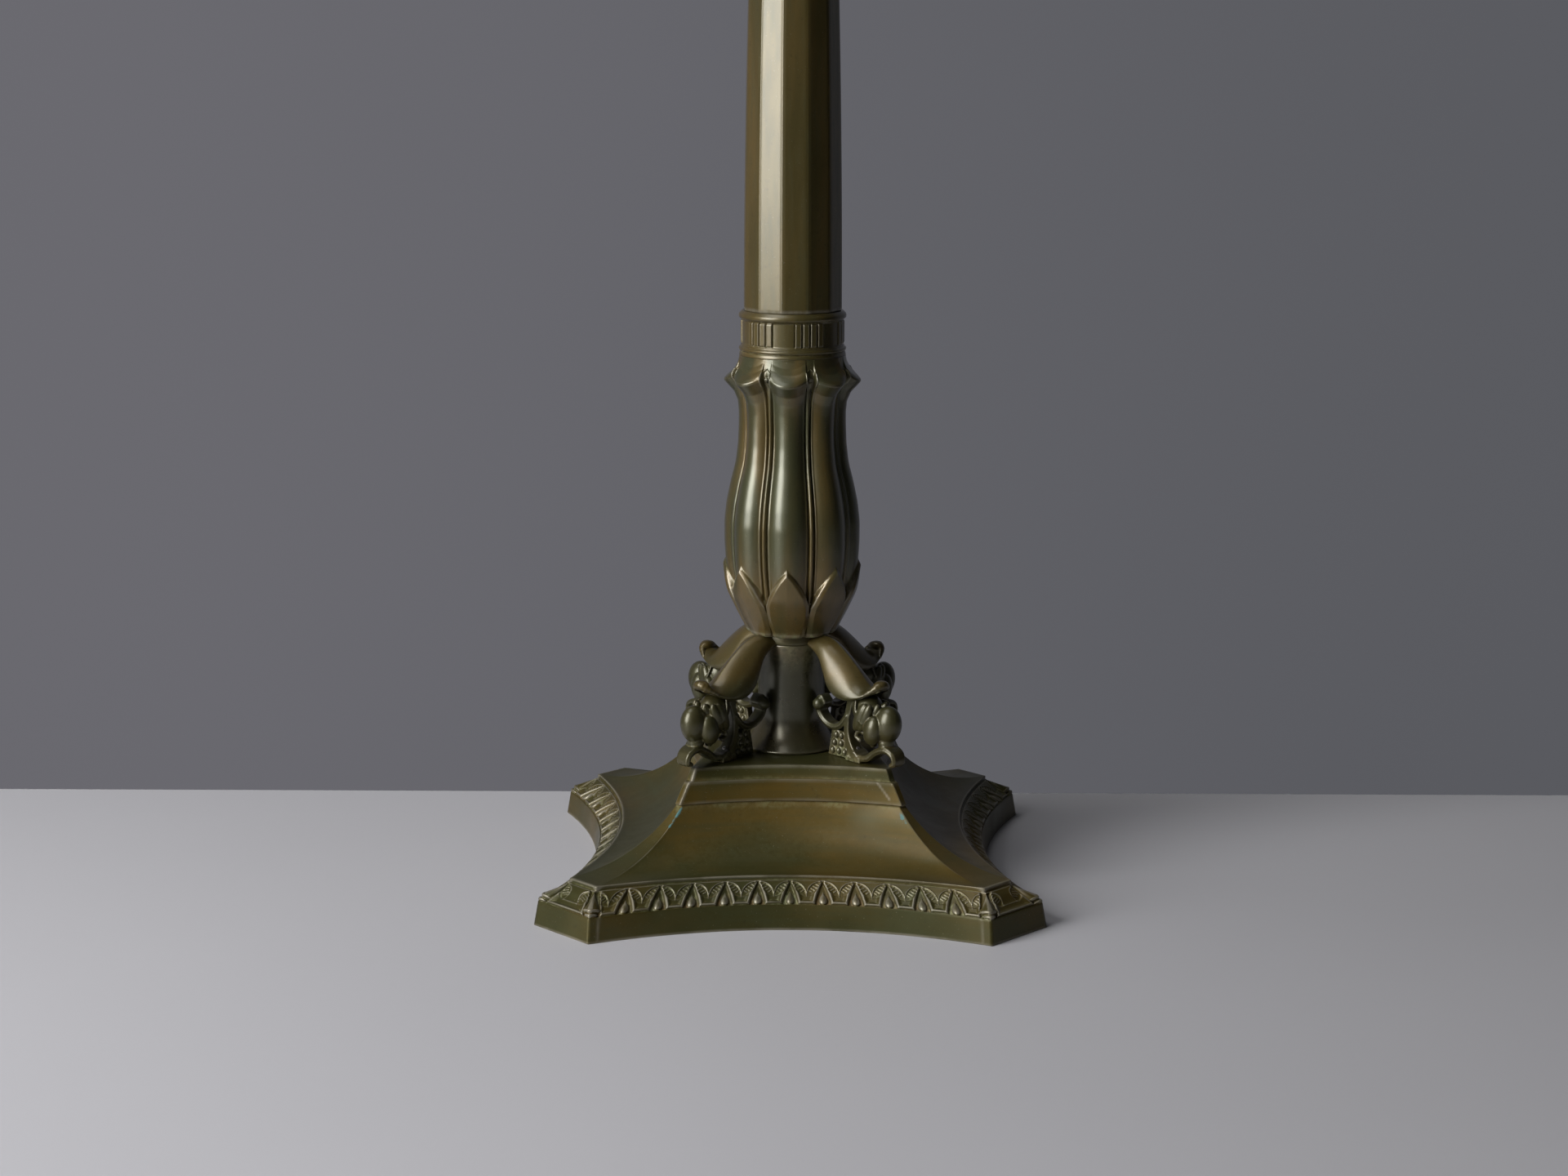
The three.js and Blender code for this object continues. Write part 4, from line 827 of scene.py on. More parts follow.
def build_neck():
    profile = rounded(
        [(15, 0), (25.8, 0), (25.4, 1.7), (24.9, 2.0), (25.8, 2.6), (25.9, 3.7), (24.8, 4.3), (25.0, 5.0),
         (NECK_RADIUS, 5.5), (NECK_RADIUS, 16.8), (24.8, 17.3), (25.9, 18.2), (25.9, 19.8), (24.9, 20.8),
         (NECK_RADIUS, 21.4), (15, 21.4)],
        0.55, 0.3,
    )
    z = profile[:, 1:2]
    angle = TAU * np.arange(NECK_COLUMNS) / NECK_COLUMNS
    group = (angle - math.radians(20)) / (TAU / BAR_GROUPS)
    across = (group - np.round(group)) * TAU / BAR_GROUPS * NECK_RADIUS
    bar = across / BAR_PITCH - 0.5
    off = np.abs(bar - np.round(bar)) * BAR_PITCH
    inside = smooth_step(GROUP_HALF - np.abs(across), 0, 0.3)
    bars = smooth_step(BAR_HALF - off, 0, 0.4) * inside
    tall = smooth_step(z, 5.5, 6.1) * smooth_step(16.9 - z, 0, 0.6)
    relief = (0.55 * bars + 0.15 * bump(off, 1.3, 0.25) * inside - 0.6 * (inside - bars)) * tall

    def extra(co, fields):
        z = co[:, 2] - NECK
        deposit = np.maximum(fields["deposit"] * 0.4, 0.35 * bump(z, 2.0, 0.5))
        return {"deposit": deposit, "worn": fields["worn"] * smooth_step(z, 1.2, 2.4)}

    rings = round_rings(profile[:, :1] + relief, angle, NECK + z)
    piece("neck_collar", lofted(rings), COLUMN_PATINA, wear=(6, 0.22, 0.2), extra=extra)


# Column of twelve flat sides

def build_column():
    per_side = 20
    share = np.concatenate([[0, 0.002, 0.004], np.linspace(0.01, 0.99, 60), [0.996, 0.998, 1]])
    radius = 24.2 - 4.5 * share**1.8
    corner = math.radians(18) + TAU * np.arange(12) / 12
    start = np.stack([np.sin(corner), -np.cos(corner)], -1)
    end = np.roll(start, -1, 0)
    t = (0.5 - 0.5 * np.cos(np.pi * np.arange(per_side) / per_side))[None, :, None]
    flat = (start[:, None] * (1 - t) + end[:, None] * t).reshape(-1, 2)
    size = np.hypot(*flat.T)
    flat = flat * (1 - 0.008 * smooth_step(size, 0.985, 1.0) / size)[:, None]
    shrink = np.interp(share, [0, 0.002, 0.004, 0.996, 0.998, 1], [0.985, 0.995, 1, 1, 0.995, 0.985])
    across = flat[None] * (radius * shrink)[:, None, None]
    height = (COLUMN + (CAPITAL - COLUMN) * share)[:, None, None]
    rings = np.concatenate([across, np.broadcast_to(height, (len(share), len(flat), 1))], -1)
    piece("column_shaft", lofted(rings), COLUMN_PATINA, wear=(3, 0.5, 0.16))


# Capital: rings and a lotus cup

def build_capital():
    columns = PETALS * 56
    profile = rounded(
        [(12, 0), (20.8, 0), (21.6, 1.2), (21.6, 2.4), (19.6, 4.2), (19.4, 9), (20.6, 10), (20.6, 11.4), (19.1, 12.4),
         (19.4, 15), (20.6, 18), (23.6, 21.4), (27.6, 23.8), (29.5, 25.0), (28.4, 26.4), (24, 27.6), (20.4, 28),
         (12, 28)],
        0.5, 0.45,
    )
    angle = PETAL_TURN + TAU * np.arange(columns) / columns
    turns = (angle - PETAL_TURN) / (TAU / PETALS)
    share = 2 * np.abs(turns - np.round(turns))[None]
    h = profile[:, 1:2]
    flare = np.interp(h, [12.4, 24.6, 27.4, 28], [0, 1, 0.4, 0])
    groove = np.interp(h, [13, 15, 24, 27], [0, 1, 1, 0])
    radius = profile[:, :1] - 2.8 * flare * share**2
    radius = radius - groove * (0.8 * bump(share, 0.84, 0.06) - 0.25 * bump(share, 0.76, 0.05))
    radius = radius + groove * 0.35 * bump(share, 0.0, 0.06)
    rings = round_rings(radius, angle, CAPITAL + h)
    piece("capital", lofted(rings), PETAL_PATINA, wear=(8, 0.22, 0.18))


# A solid made on a grid of distances, by joining and cutting rounded shapes

class Clay:
    """The grid: its field is the distance to the solid, negative inside."""

    def __init__(self, low, high, step):
        self.low, self.step = np.array(low, float), step
        self.count = np.ceil((np.array(high) - self.low) / step).astype(int) + 1
        self.axes = [self.low[k] + step * np.arange(self.count[k]) for k in range(3)]
        self.field = np.full(self.count, 6.0)

    def part(self, low, high, reach=4.0):
        """The slices and the coordinates of the region round a box."""
        slices, places = [], []
        for k, axis in enumerate(self.axes):
            a = int(np.clip(np.floor((low[k] - reach - self.low[k]) / self.step), 0, self.count[k]))
            b = int(np.clip(np.ceil((high[k] + reach - self.low[k]) / self.step) + 1, a, self.count[k]))
            slices.append(slice(a, b))
            shape = [1, 1, 1]
            shape[k] = b - a
            places.append(axis[a:b].reshape(shape))
        return tuple(slices), places

    def join(self, shape, low, high, soft, away=False):
        """Adds a shape with a soft seam, or takes it away."""
        where, (x, y, z) = self.part(low, high)
        sign = -1 if away else 1
        here, other = sign * self.field[where], shape(x, y, z)
        h = np.clip(0.5 + 0.5 * (here - other) / soft, 0, 1)
        self.field[where] = sign * (here * (1 - h) + other * h - soft * h * (1 - h))

    def ball(self, centre, size, soft=0.8, lean=0.0):
        """An ellipsoid, leaning in the x-z plane."""
        c, s = math.cos(lean), math.sin(lean)

        def shape(x, y, z):
            dx, dy, dz = x - centre[0], y - centre[1], z - centre[2]
            u, v = c * dx - s * dz, s * dx + c * dz
            k = np.sqrt((u / size[0]) ** 2 + (dy / size[1]) ** 2 + (v / size[2]) ** 2) + 1e-6
            return (k - 1) * min(size)

        self.join(shape, np.array(centre) - max(size), np.array(centre) + max(size), soft)

    def slab(self, low, high, edge, soft=0.2, away=False):
        """A box with rounded edges, joined or cut away."""
        middle = (np.array(low) + high) / 2
        half = (np.array(high) - low) / 2 - edge

        def shape(x, y, z):
            q = [np.abs(v - m) - h for v, m, h in zip((x, y, z), middle, half)]
            outside = np.sqrt(sum(np.maximum(v, 0) ** 2 for v in q))
            return outside + np.minimum(np.maximum(np.maximum(q[0], q[1]), q[2]), 0) - edge

        self.join(shape, low, high, soft, away)

    def rod(self, points, radii, soft=0.5):
        """A round rod through points with a radius at each."""
        points = np.asarray(points, float)
        radii = np.broadcast_to(radii, len(points)).astype(float)
        for a, b, ra, rb in zip(points, points[1:], radii, radii[1:]):
            way = b - a

            def shape(x, y, z):
                px, py, pz = x - a[0], y - a[1], z - a[2]
                t = np.clip((px * way[0] + py * way[1] + pz * way[2]) / (way @ way + 1e-9), 0, 1)
                far = np.sqrt((px - t * way[0]) ** 2 + (py - t * way[1]) ** 2 + (pz - t * way[2]) ** 2)
                return far - (ra + (rb - ra) * t)

            wide = max(ra, rb)
            self.join(shape, np.minimum(a, b) - wide, np.maximum(a, b) + wide, soft)

    def strap(self, points, thick, wide, middle, soft, edge):
        """A flat strap that follows points in the x-z plane."""
        points = np.asarray(points, float)
        thick = np.broadcast_to(thick, len(points)).astype(float)
        wide = np.broadcast_to(wide, len(points)).astype(float)
        low = [points[:, 0].min() - thick.max(), middle - wide.max(), points[:, 1].min() - thick.max()]
        high = [points[:, 0].max() + thick.max(), middle + wide.max(), points[:, 1].max() + thick.max()]

        def shape(x, y, z):
            best = np.full(np.broadcast_shapes(x.shape, z.shape), 99.0)
            half = np.full(best.shape, wide[0])
            for k in range(len(points) - 1):
                a, way = points[k], points[k + 1] - points[k]
                t = np.clip(((x - a[0]) * way[0] + (z - a[1]) * way[1]) / (way @ way + 1e-9), 0, 1)
                far = np.hypot(x - a[0] - t * way[0], z - a[1] - t * way[1])
                far = far - (thick[k] + (thick[k + 1] - thick[k]) * t)
                half = np.where(far < best, wide[k] + (wide[k + 1] - wide[k]) * t, half)
                best = np.minimum(far, best)
            qa, qb = best + edge, np.abs(y - middle) - half + edge
            return np.hypot(np.maximum(qa, 0), np.maximum(qb, 0)) + np.minimum(np.maximum(qa, qb), 0) - edge

        self.join(shape, low, high, soft)

    def surface(self):
        """Points and quads where the field crosses zero, one point in each crossed cell."""
        f = self.field
        shape = np.array(f.shape) - 1
        total = np.zeros((*shape, 3))
        number = np.zeros(shape)
        crossings = []
        for axis in range(3):
            first = [slice(None)] * 3
            second = [slice(None)] * 3
            first[axis], second[axis] = slice(None, -1), slice(1, None)
            f0, f1 = f[tuple(first)], f[tuple(second)]
            spots = np.argwhere((f0 < 0) != (f1 < 0))
            values0, values1 = f0[tuple(spots.T)], f1[tuple(spots.T)]
            place = spots.astype(float)
            place[:, axis] += values0 / (values0 - values1)
            others = [k for k in range(3) if k != axis]
            for shift in ((0, 0), (0, -1), (-1, 0), (-1, -1)):
                cell = spots.copy()
                cell[:, others] += shift
                ok = ((cell >= 0) & (cell < shape)).all(1)
                flat = np.ravel_multi_index(cell[ok].T, shape)
                for k in range(3):
                    total[..., k] += np.bincount(flat, place[ok, k], shape.prod()).reshape(shape)
                number += np.bincount(flat, minlength=shape.prod()).reshape(shape)
            inner = ((spots[:, others] > 0) & (spots[:, others] < shape[others])).all(1)
            crossings.append((axis, others, spots[inner], (values0 < 0)[inner]))
        active = number > 0
        index = np.full(shape, -1)
        index[active] = np.arange(active.sum())
        points = self.low + self.step * total[active] / number[active][:, None]
        quads = []
        for axis, others, spots, inward in crossings:
            corners = []
            for shift in ((-1, -1), (0, -1), (0, 0), (-1, 0)):
                cell = spots.copy()
                cell[:, others] += shift
                corners.append(index[tuple(cell.T)])
            quad = np.stack(corners, -1)
            turn = inward if axis != 1 else ~inward
            quads.append(np.where(turn[:, None], quad, quad[:, ::-1]))
        return points, np.concatenate(quads)


# Scroll bracket, drawn in its own plane: x runs out from the lamp's axis, y across, z up

KEEL = [
    (13, 121), (21, 122.4), (28, 121.6), (34, 118.6), (40, 114.4), (46, 109.3), (51, 104.6), (55, 102.3), (59.4, 103.4),
    (62.6, 104),
]
EDGE = [
    (13, 118), (20.5, 115), (25.6, 111.5), (29.3, 105.5), (32.8, 99.8), (38.5, 96), (45.2, 95.1), (51.4, 96.2),
    (57.4, 98.8), (62.6, 101.2),
]
LEAF_HALF = [4.4, 5.6, 6.9, 8.1, 8.9, 9.3, 9.1, 8.0, 6.0, 3.4]
LEAF_SECTION = [
    (0, 0), (0.05, 0.2), (0.14, 0.46), (0.27, 0.7), (0.43, 0.9), (0.62, 1.03), (0.78, 1.08), (0.9, 1.04), (1, 0.94),
]


def leaf_shell():
    """The leaf over a bracket: a sharp keel, two bulging sides and a scooped underside, as lofted rings."""
    rows, columns = 90, 26
    keel, edge = smooth_curve(KEEL, rows), smooth_curve(EDGE, rows)
    half = smooth_values(LEAF_HALF, rows)
    section = smooth_curve(LEAF_SECTION, columns)
    drop = edge - keel
    rings = []
    for k in range(rows):
        outer = keel[k] + drop[k] * section[:, :1]
        y = half[k] * section[:, 1]
        right = np.column_stack([outer[:, 0], y, outer[:, 1]])
        thick = np.minimum(1.7, 0.35 * half[k]) * np.sqrt(1 - np.linspace(0, 1, columns) ** 6)
        slope = np.gradient(np.column_stack([outer, y]), axis=0)
        slope /= np.linalg.norm(slope, axis=1, keepdims=True) + 1e-9
        down = drop[k] / np.linalg.norm(drop[k])
        inner = right.copy()
        inner[:, 1] -= thick * (slope[:, :2] @ down)
        inner[:, 1] = np.maximum(inner[:, 1], 0) * (np.arange(columns) > 0)
        inner[:, [0, 2]] += (thick * slope[:, 2])[:, None] * down
        left, lining = right * (1, -1, 1), inner * (1, -1, 1)
        rings.append(np.vstack([right, inner[-2::-1], lining[1:-1], left[:0:-1]]))
    return lofted(rings)


BRACKET_LOW, BRACKET_HIGH = (11, -11, 63.6), (75, 11, 125)


def bracket_clay(step):
    """The flower, the stem, the scroll, the foot loop and the berries under the leaf."""
    clay = Clay(BRACKET_LOW, BRACKET_HIGH, step)
    root = [(16, 0, 118), (22, 0, 117), (28, 0, 113.5), (33, 0, 108), (38, 0, 102.5), (44, 0, 99), (50, 0, 98)]
    clay.rod(smooth_curve(root, 14), smooth_values([2.2, 3.2, 4.2, 5.0, 5.4, 5.2, 4.2], 14), 1.5)
    tip = [(56.5, -6.6, 99.6), (60.6, -3.6, 102.6), (62.0, 0, 104.0), (60.6, 3.6, 102.6), (56.5, 6.6, 99.6)]
    clay.rod(smooth_curve(tip, 12), smooth_values([0.9, 1.7, 2.1, 1.7, 0.9], 12), 0.4)
    clay.ball((60.2, 0, 103.6), (2.5, 4.4, 2.6), 0.9)
    stem = smooth_curve([(46, 64.3), (43.5, 69), (40.6, 76), (40.4, 84), (42.6, 92), (44, 100)], 22)
    share = np.linspace(0, 1, 22)
    thick = np.interp(share, [0, 0.1, 0.25, 0.45, 0.8, 1], [5.2, 3.4, 2.2, 1.7, 1.9, 3.0])
    clay.strap(stem, thick, np.interp(share, [0, 0.2, 0.5, 1], [4.6, 3.4, 2.7, 3.4]), 0, 0.8, 0.7)
    scroll = smooth_curve(
        [(40.6, 85.5), (36, 80.3), (31.2, 78.6), (26, 79.9), (22, 83.6), (20.6, 88.5), (22.6, 91.6), (24.4, 89.6)], 26
    )
    clay.strap(scroll, 1.6, 3.0, 0, 0.6, 0.6)
    loop = smooth_curve([(46, 66.7), (54, 66.9), (60, 71), (66, 73.6), (71.2, 71.8), (72.4, 68.0), (70.2, 66.6)], 26)
    sizes = (1.5, 1.7, 1.3), (3.6, 4.3, 3.2), (3.4, 4.1, 3.0)
    thick, wide, rim = (np.interp(np.linspace(0, 1, 26), [0, 0.5, 1], size) for size in sizes)
    clay.strap(loop, thick, wide, 0, 0.8, 0.6)
    clay.rod([(21.9, -2.9, 88.6), (21.9, 2.9, 88.6)], 3.1, 0.4)
    flower_clay(clay)
    curl = smooth_curve([(59.5, 75), (55, 79.4), (50.6, 80.4), (48.8, 77.6), (51, 76)], 18)

    def beside(line, off, radius, soft):
        """A thin rod beside a line in the x-z plane."""
        clay.rod(np.column_stack([line[:, 0], off + 0 * line[:, 0], line[:, 1]]), radius, soft)

    for sign in (1, -1):
        beside(scroll, sign * 2.9, 0.7, 0.3)
        clay.rod([(21.9, sign * 2.9, 88.6), (21.9, sign * 3.6, 88.6)], 1.9, 0.3)
        beside(loop, sign * rim, 0.85, 0.3)
        clay.strap(curl, 1.1, 1.6, sign * 3.4, 0.6, 0.5)
        beside(curl, sign * 4.9, 0.55, 0.25)
    berries(clay)
    clay.join(lambda x, y, z: z - PLATEAU - 0.1 + 0 * x + 0 * y, (11, -11, 60), (75, 11, 70), 0.1, True)
    clear_centre(clay)
    return clay


def flower_clay(clay):
    """The lotus flower that hangs from the leaf: a ribbed cup, an outer petal and one petal on each side."""
    clay.ball((52.5, 0, 90.5), (8.2, 7.0, 8.0), 0.8, 0.5)
    for turn in np.radians([-104, -66, -24, 24, 66, 104]):
        place = (54.3 + 4.3 * math.cos(turn), 6.7 * math.sin(turn), 88.0)
        clay.ball(place, (3.0, 2.5, 7.9), 0.12, 0.45)
    clay.ball((65.4, 0, 85.4), (7.2, 6.2, 9.2), 0.3, 0.15)
    for sign in (1, -1):
        clay.ball((60.6, sign * 5.4, 82.6), (5.0, 4.2, 7.4), 0.22, 0.2)
        rim = smooth_curve(
            [(50.5, sign * 6.6, 96.0), (52.0, sign * 8.2, 90.5), (55.5, sign * 8.0, 85.5), (58.5, sign * 6.0, 88.5),
             (58.5, sign * 5.0, 94.0)], 20,
        )
        clay.rod(rim, 0.55, 0.25)
    clay.ball((64.6, 0, 76.4), (4.2, 4.2, 3.4), 0.6)


def berries(clay):
    """A three-sided patch with beads on both its faces, between the scroll and the stem."""
    corners = np.array([(27.5, 64.3), (43, 64.3), (39, 77), (30, 77.6)])

    def patch(x, y, z):
        far = np.full(np.broadcast_shapes(x.shape, z.shape), -99.0)
        for a, b in zip(corners, np.roll(corners, -1, 0)):
            way = (b - a) / np.linalg.norm(b - a)
            far = np.maximum(far, (x - a[0]) * way[1] - (z - a[1]) * way[0])
        return np.maximum(far, np.abs(y) - 1.9)

    clay.join(patch, (27, -2, 64), (43, 2, 78), 0.6)
    spots = [(31, 67), (35, 67.2), (39, 67), (32.2, 71), (36.6, 71.2), (33.4, 75), (36.8, 75)]
    for sign in (1, -1):
        for x, z in spots:
            clay.ball((x, sign * 2.0, z), (1.55, 1.5, 1.75), 0.2)


def clear_centre(clay):
    """Keeps the bracket off the foot tube, the collar and the urn."""
    heights = [PLATEAU, COLLAR - 2, COLLAR - 1.9, URN - 0.2, *(URN + np.array([0, 2, 5.7, 10.7, 15.6]))]
    radii = [16.7, 16.7, 17.0, 17.0, *(np.array([20, 20.6, 22.6, 25.2, 27.5]) + 1.4)]
    clay.join(lambda x, y, z: np.hypot(x, y) - np.interp(z, heights, radii), (11, -11, 64), (40, 11, 125), 0.1, True)


def build_brackets():
    flower, quads = bracket_clay(0.42).surface()
    points, faces = gather((flower, [quads]), leaf_shell())

    def extra(co, fields):
        z = co[:, 2]
        low = np.interp(z, [64, 72, 82, 95], [1.2, 1.0, 0.7, 0.4])
        return {"deposit": fields["deposit"] * low + 0.6 * bump(z, PLATEAU, 3), "warm": bump(z, 112, 10)}

    for k, corner in enumerate(CORNERS):
        placed = rotated(points, math.pi / 4 + k * math.pi / 2)
        piece(f"scroll_bracket_{corner}", (placed, faces), SCROLL_PATINA, wear=(5, 0.28, 0.3), extra=extra)


# Threads, flats and laid-down solids

def thread(low, high, pitch, depth, beyond=0.0):
    """A rounded right-hand thread between two heights, on the surfaces beyond a radius."""
    def press(radius, height, angle):
        ends = smooth_step(height, low, low + 0.6 * pitch) * smooth_step(high - height, 0, 0.6 * pitch)
        cut = depth * ends * (0.5 - 0.5 * np.cos(TAU * height / pitch - angle))
        return np.where(radius > beyond, radius - cut, radius)

    return press


def hexagon(flats):
    """Presses a round solid to six flats."""
    def press(radius, height, angle):
        turn = np.mod(angle, TAU / 6) - TAU / 12
        return np.minimum(radius, flats / 2 / np.cos(turn))

    return press


ALONG_X = np.array([(0, 0, -1), (0, 1, 0), (1, 0, 0)])
ALONG_Y = np.array([(1, 0, 0), (0, 0, -1), (0, 1, 0)])


def laid(solid, way, origin):
    """An upright solid laid along another axis and moved to an origin."""
    points, faces = solid
    return points @ way + origin, faces


def swept(path, radius, sides, relief=None):
    """A round rod along a path, with its radius at each point of the path."""
    path = np.asarray(path, float)
    along = np.gradient(path, axis=0)
    along /= np.linalg.norm(along, axis=1, keepdims=True)
    side = np.cross(along[0], (0.3, 0.8, 0.52))
    sides_way = []
    for way in along:
        side = side - way * (side @ way)
        side /= np.linalg.norm(side)
        sides_way.append(side)
    sides_way = np.array(sides_way)
    other = np.cross(along, sides_way)
    angle = TAU * np.arange(sides) / sides
    size = np.broadcast_to(radius, len(path))[:, None] + 0 * angle
    if relief is not None:
        size = size + relief(angle)
    rings = path[:, None] + size[..., None] * (
        np.cos(angle)[None, :, None] * sides_way[:, None] + np.sin(angle)[None, :, None] * other[:, None]
    )
    return lofted(rings)


# Lamp holder, seen from outside: cap, barrel with its thread, rings and key

GAP = 0.3
SWITCH = 545.2


def build_holder():
    low, top = HOLDER, BARREL
    dome = [(13.4 + 6.0 * math.sin(t), low + 9 - 9 * math.cos(t)) for t in np.linspace(0, math.pi / 2, 10)]
    lining = [(18.5 - 5.7 * (1 - math.cos(t)), low + 9 - 7 * math.sin(t)) for t in np.linspace(0, math.pi / 2, 8)]
    walls = [*raised(low, (19.4, 11), (19.0, 11.6), (19.0, 12.4), (19.4, 13)), (19.4, top), (18.5, top)]
    cap = turned([(5.1, low), *dome, *walls, *lining, (5.1, low + 2)], 160, 0.25, 1.5)
    bush = turned([(2.3, 18.6), (3.9, 18.6), (3.9, 19.7), (3.4, 20.2), (2.3, 20.2)], 48, 0.2, 1.0)
    piece("holder_cap", gather(cap, laid(bush, ALONG_X, (0, 0, SWITCH))), BRASS, "brass", wear=(6, 0.2, 0.15))

    cut = thread(top + 3.2, top + 36, 2.5, 0.55, 19.3)

    def rim(radius, height, angle):
        knurl = 0.16 * (0.5 + 0.5 * np.cos(90 * angle)) * smooth_step(radius, 20.9, 21.2)
        return cut(radius, height, angle) - knurl

    outline = raised(
        top, (19.7, -4), (20.6, -4), (21.3, -3.2), (21.4, -1), (21.4, 1.2), (20.4, 1.9), (20, 2.6), (20, 36),
        (19.1, 36), (19.1, GAP), (19.7, GAP),
    )
    piece("holder_barrel", turned(outline, 360, 0.2, 0.3, rim), BRASS, "brass", wear=(4, 0.2, 0.15))


def build_shade_ring(name):
    low, top = span(name)

    def rim(radius, height, angle):
        notch = (np.mod(angle / TAU * 10, 1) - 0.5) * TAU / 10 * 27
        dip = np.sqrt(np.clip(1.6**2 - notch**2, 0, None))
        ribs = 0.22 * (0.5 + 0.5 * np.cos(np.clip((np.abs(notch) - 8.48) * TAU / 1.08, -math.pi * 11, 0)))
        outer = smooth_step(radius, 24, 26)
        teeth = thread(low - 1, top + 1, 2.5, 0.3)(radius, height, angle) - radius + 0.3
        return radius - outer * np.maximum(dip, ribs) + np.where(radius < 21, teeth, 0)

    foot = raised(low, (20.3, 0), (26.3, 0), (27, 0.7))
    crown = raised(top, (27, -0.7), (26.3, 0), (24.6, 0), (24.2, -0.35), (22.6, -0.35), (22.2, 0), (20.3, 0))
    piece(name, turned([*foot, *crown], 720, 0.25, 0.5, rim), BRASS, "brass", name, (5, 0.2, 0.15))


def build_key():
    """The rotor, its shaft and the flat oval wing outside the cap."""
    clay = Clay((-10, -6, -6), (37, 6, 6), 0.24)
    clay.rod([(-3.9, 0, 0), (2.0, 0, 0)], 4.8, 0.1)
    clay.rod([(2, 0, 0), (24, 0, 0)], 1.9, 0.4)
    clay.slab((20.5, -3.1, -3.1), (22.6, 3.1, 3.1), 0.9, 0.2)
    clay.rod([(22.0, 0, 0), (25.0, 0, 0)], (2.3, 1.7), 0.6)
    clay.ball((29.6, 0, 0), (6.1, 4.4, 1.05), 1.2)
    rim = [(29.6 + 5.5 * math.cos(t), 3.8 * math.sin(t), 0) for t in np.linspace(-2.6, 2.6, 30)]
    clay.rod(rim, 0.75, 0.3)
    points, quads = clay.surface()
    piece("switch_key", (points + (0, 0, SWITCH), [quads]), BRASS, "brass", "switch_key", (5, 0.15, 0.15))


# Inside of the holder and the bulb

LAMP_THREAD = 3.6


def build_socket():
    low, top = span("porcelain_insert")
    outline = [*raised(low, (3.8, 0), (17.5, 0)),
               *raised(top, (17.5, -2.2), (15.4, -2.2), (15.4, 0), (9.4, 0), (9.0, -1.2), (3.8, -1.2))]
    piece("porcelain_insert", turned(outline, 128, 0.5, 1.5), PORCELAIN, "porcelain")
    wall = top + 20.9
    outline = [*raised(top, (11.3, 0), (13.6, 0), (14.3, 0.9)), (14.3, wall), (13.8, wall),
               *raised(top, (13.8, 1.1), (13.3, 0.5), (11.3, 0.5))]
    shell = turned(outline, 144, 0.15, 0.45, thread(top + 2, wall - 1, LAMP_THREAD, 0.4))
    piece("screw_shell", shell, BRASS, "brass", wear=(4, 0.2, 0.2))
    low, top = span("centre_contact")
    outline = [(0, low), (2.4, low), *raised(top, (2.4, -2.2), (3.4, -1.6), (3.3, -0.7), (2.2, -0.1), (0, 0))]
    piece("centre_contact", turned(outline, 64, 0.3, 0.8), BRASS, "brass")


def build_bulb():
    low, top = span("bulb_contact")
    outline = [*raised(low, (0, 0), (2.6, 0.15), (4.4, 0.9)), (4.5, top), (0, top)]
    piece("bulb_contact", turned(outline, 64, 0.4, 0.6), SOLDER, "brass", "bulb")
    low, top = span("bulb_cap")
    outline = raised(low, (0, 0.2), (4.7, 0.2), (8.8, 2.2), (12.2, 4.2), (12.0, 5.4), (0, 5.4))
    piece("bulb_insulator", turned(outline, 96, 0.5, 1.0), BLACK_GLASS, "porcelain", "bulb", replaces=[])
    outline = [*raised(low, (12.0, 4.5), (12.7, 4.6), (13.2, 5.4)),
               *raised(top, (13.2, -1.6), (12.9, 0), (12.3, 0), (12.6, -1.6)), (12.6, low + 5.6)]
    cap = turned(outline, 144, 0.15, 0.4, thread(low + 5, top - 2.2, LAMP_THREAD, 0.75))
    piece("bulb_cap", cap, CAP_METAL, "brass", "bulb", (4, 0.2, 0.2))

    low, top = span("bulb_glass")
    curve = [(30 * math.cos(t), top - 30 + 30 * math.sin(t)) for t in np.linspace(-0.86, math.pi / 2, 10)[:-1]]
    outer = smooth_curve([*raised(low, (14.2, 0), (14.6, 4), (15.2, 13)), *curve, (0, top)], 110)
    slope = np.gradient(outer, axis=0)
    slope /= np.linalg.norm(slope, axis=1, keepdims=True)
    inner = outer + 0.9 * np.stack([-slope[:, 1], slope[:, 0]], -1)
    columns = 160
    line = np.vstack([inner[-2:0:-1], outer[:-1]])
    rings = round_rings(line[:, :1], TAU * np.arange(columns) / columns, line[:, 1:])
    points = np.vstack([rings.reshape(-1, 3), (0, 0, top - 0.9), (0, 0, top)])
    piece("bulb_glass", (points, loft_faces(len(line), columns)), GLASS, "clear_glass", "bulb", None)

    low = span("bulb_mount")[0]
    outline = raised(
        low, (0, 0), (7, 0), (6.4, 2.4), (4.6, 6), (4, 9), (2.6, 16), (2, 30), (2.9, 33.4), (1.6, 34.8), (0, 35)
    )
    piece("bulb_mount", turned(outline, 64, 1.0, 1.0), GLASS, "clear_glass", "bulb", None)
    build_filament()


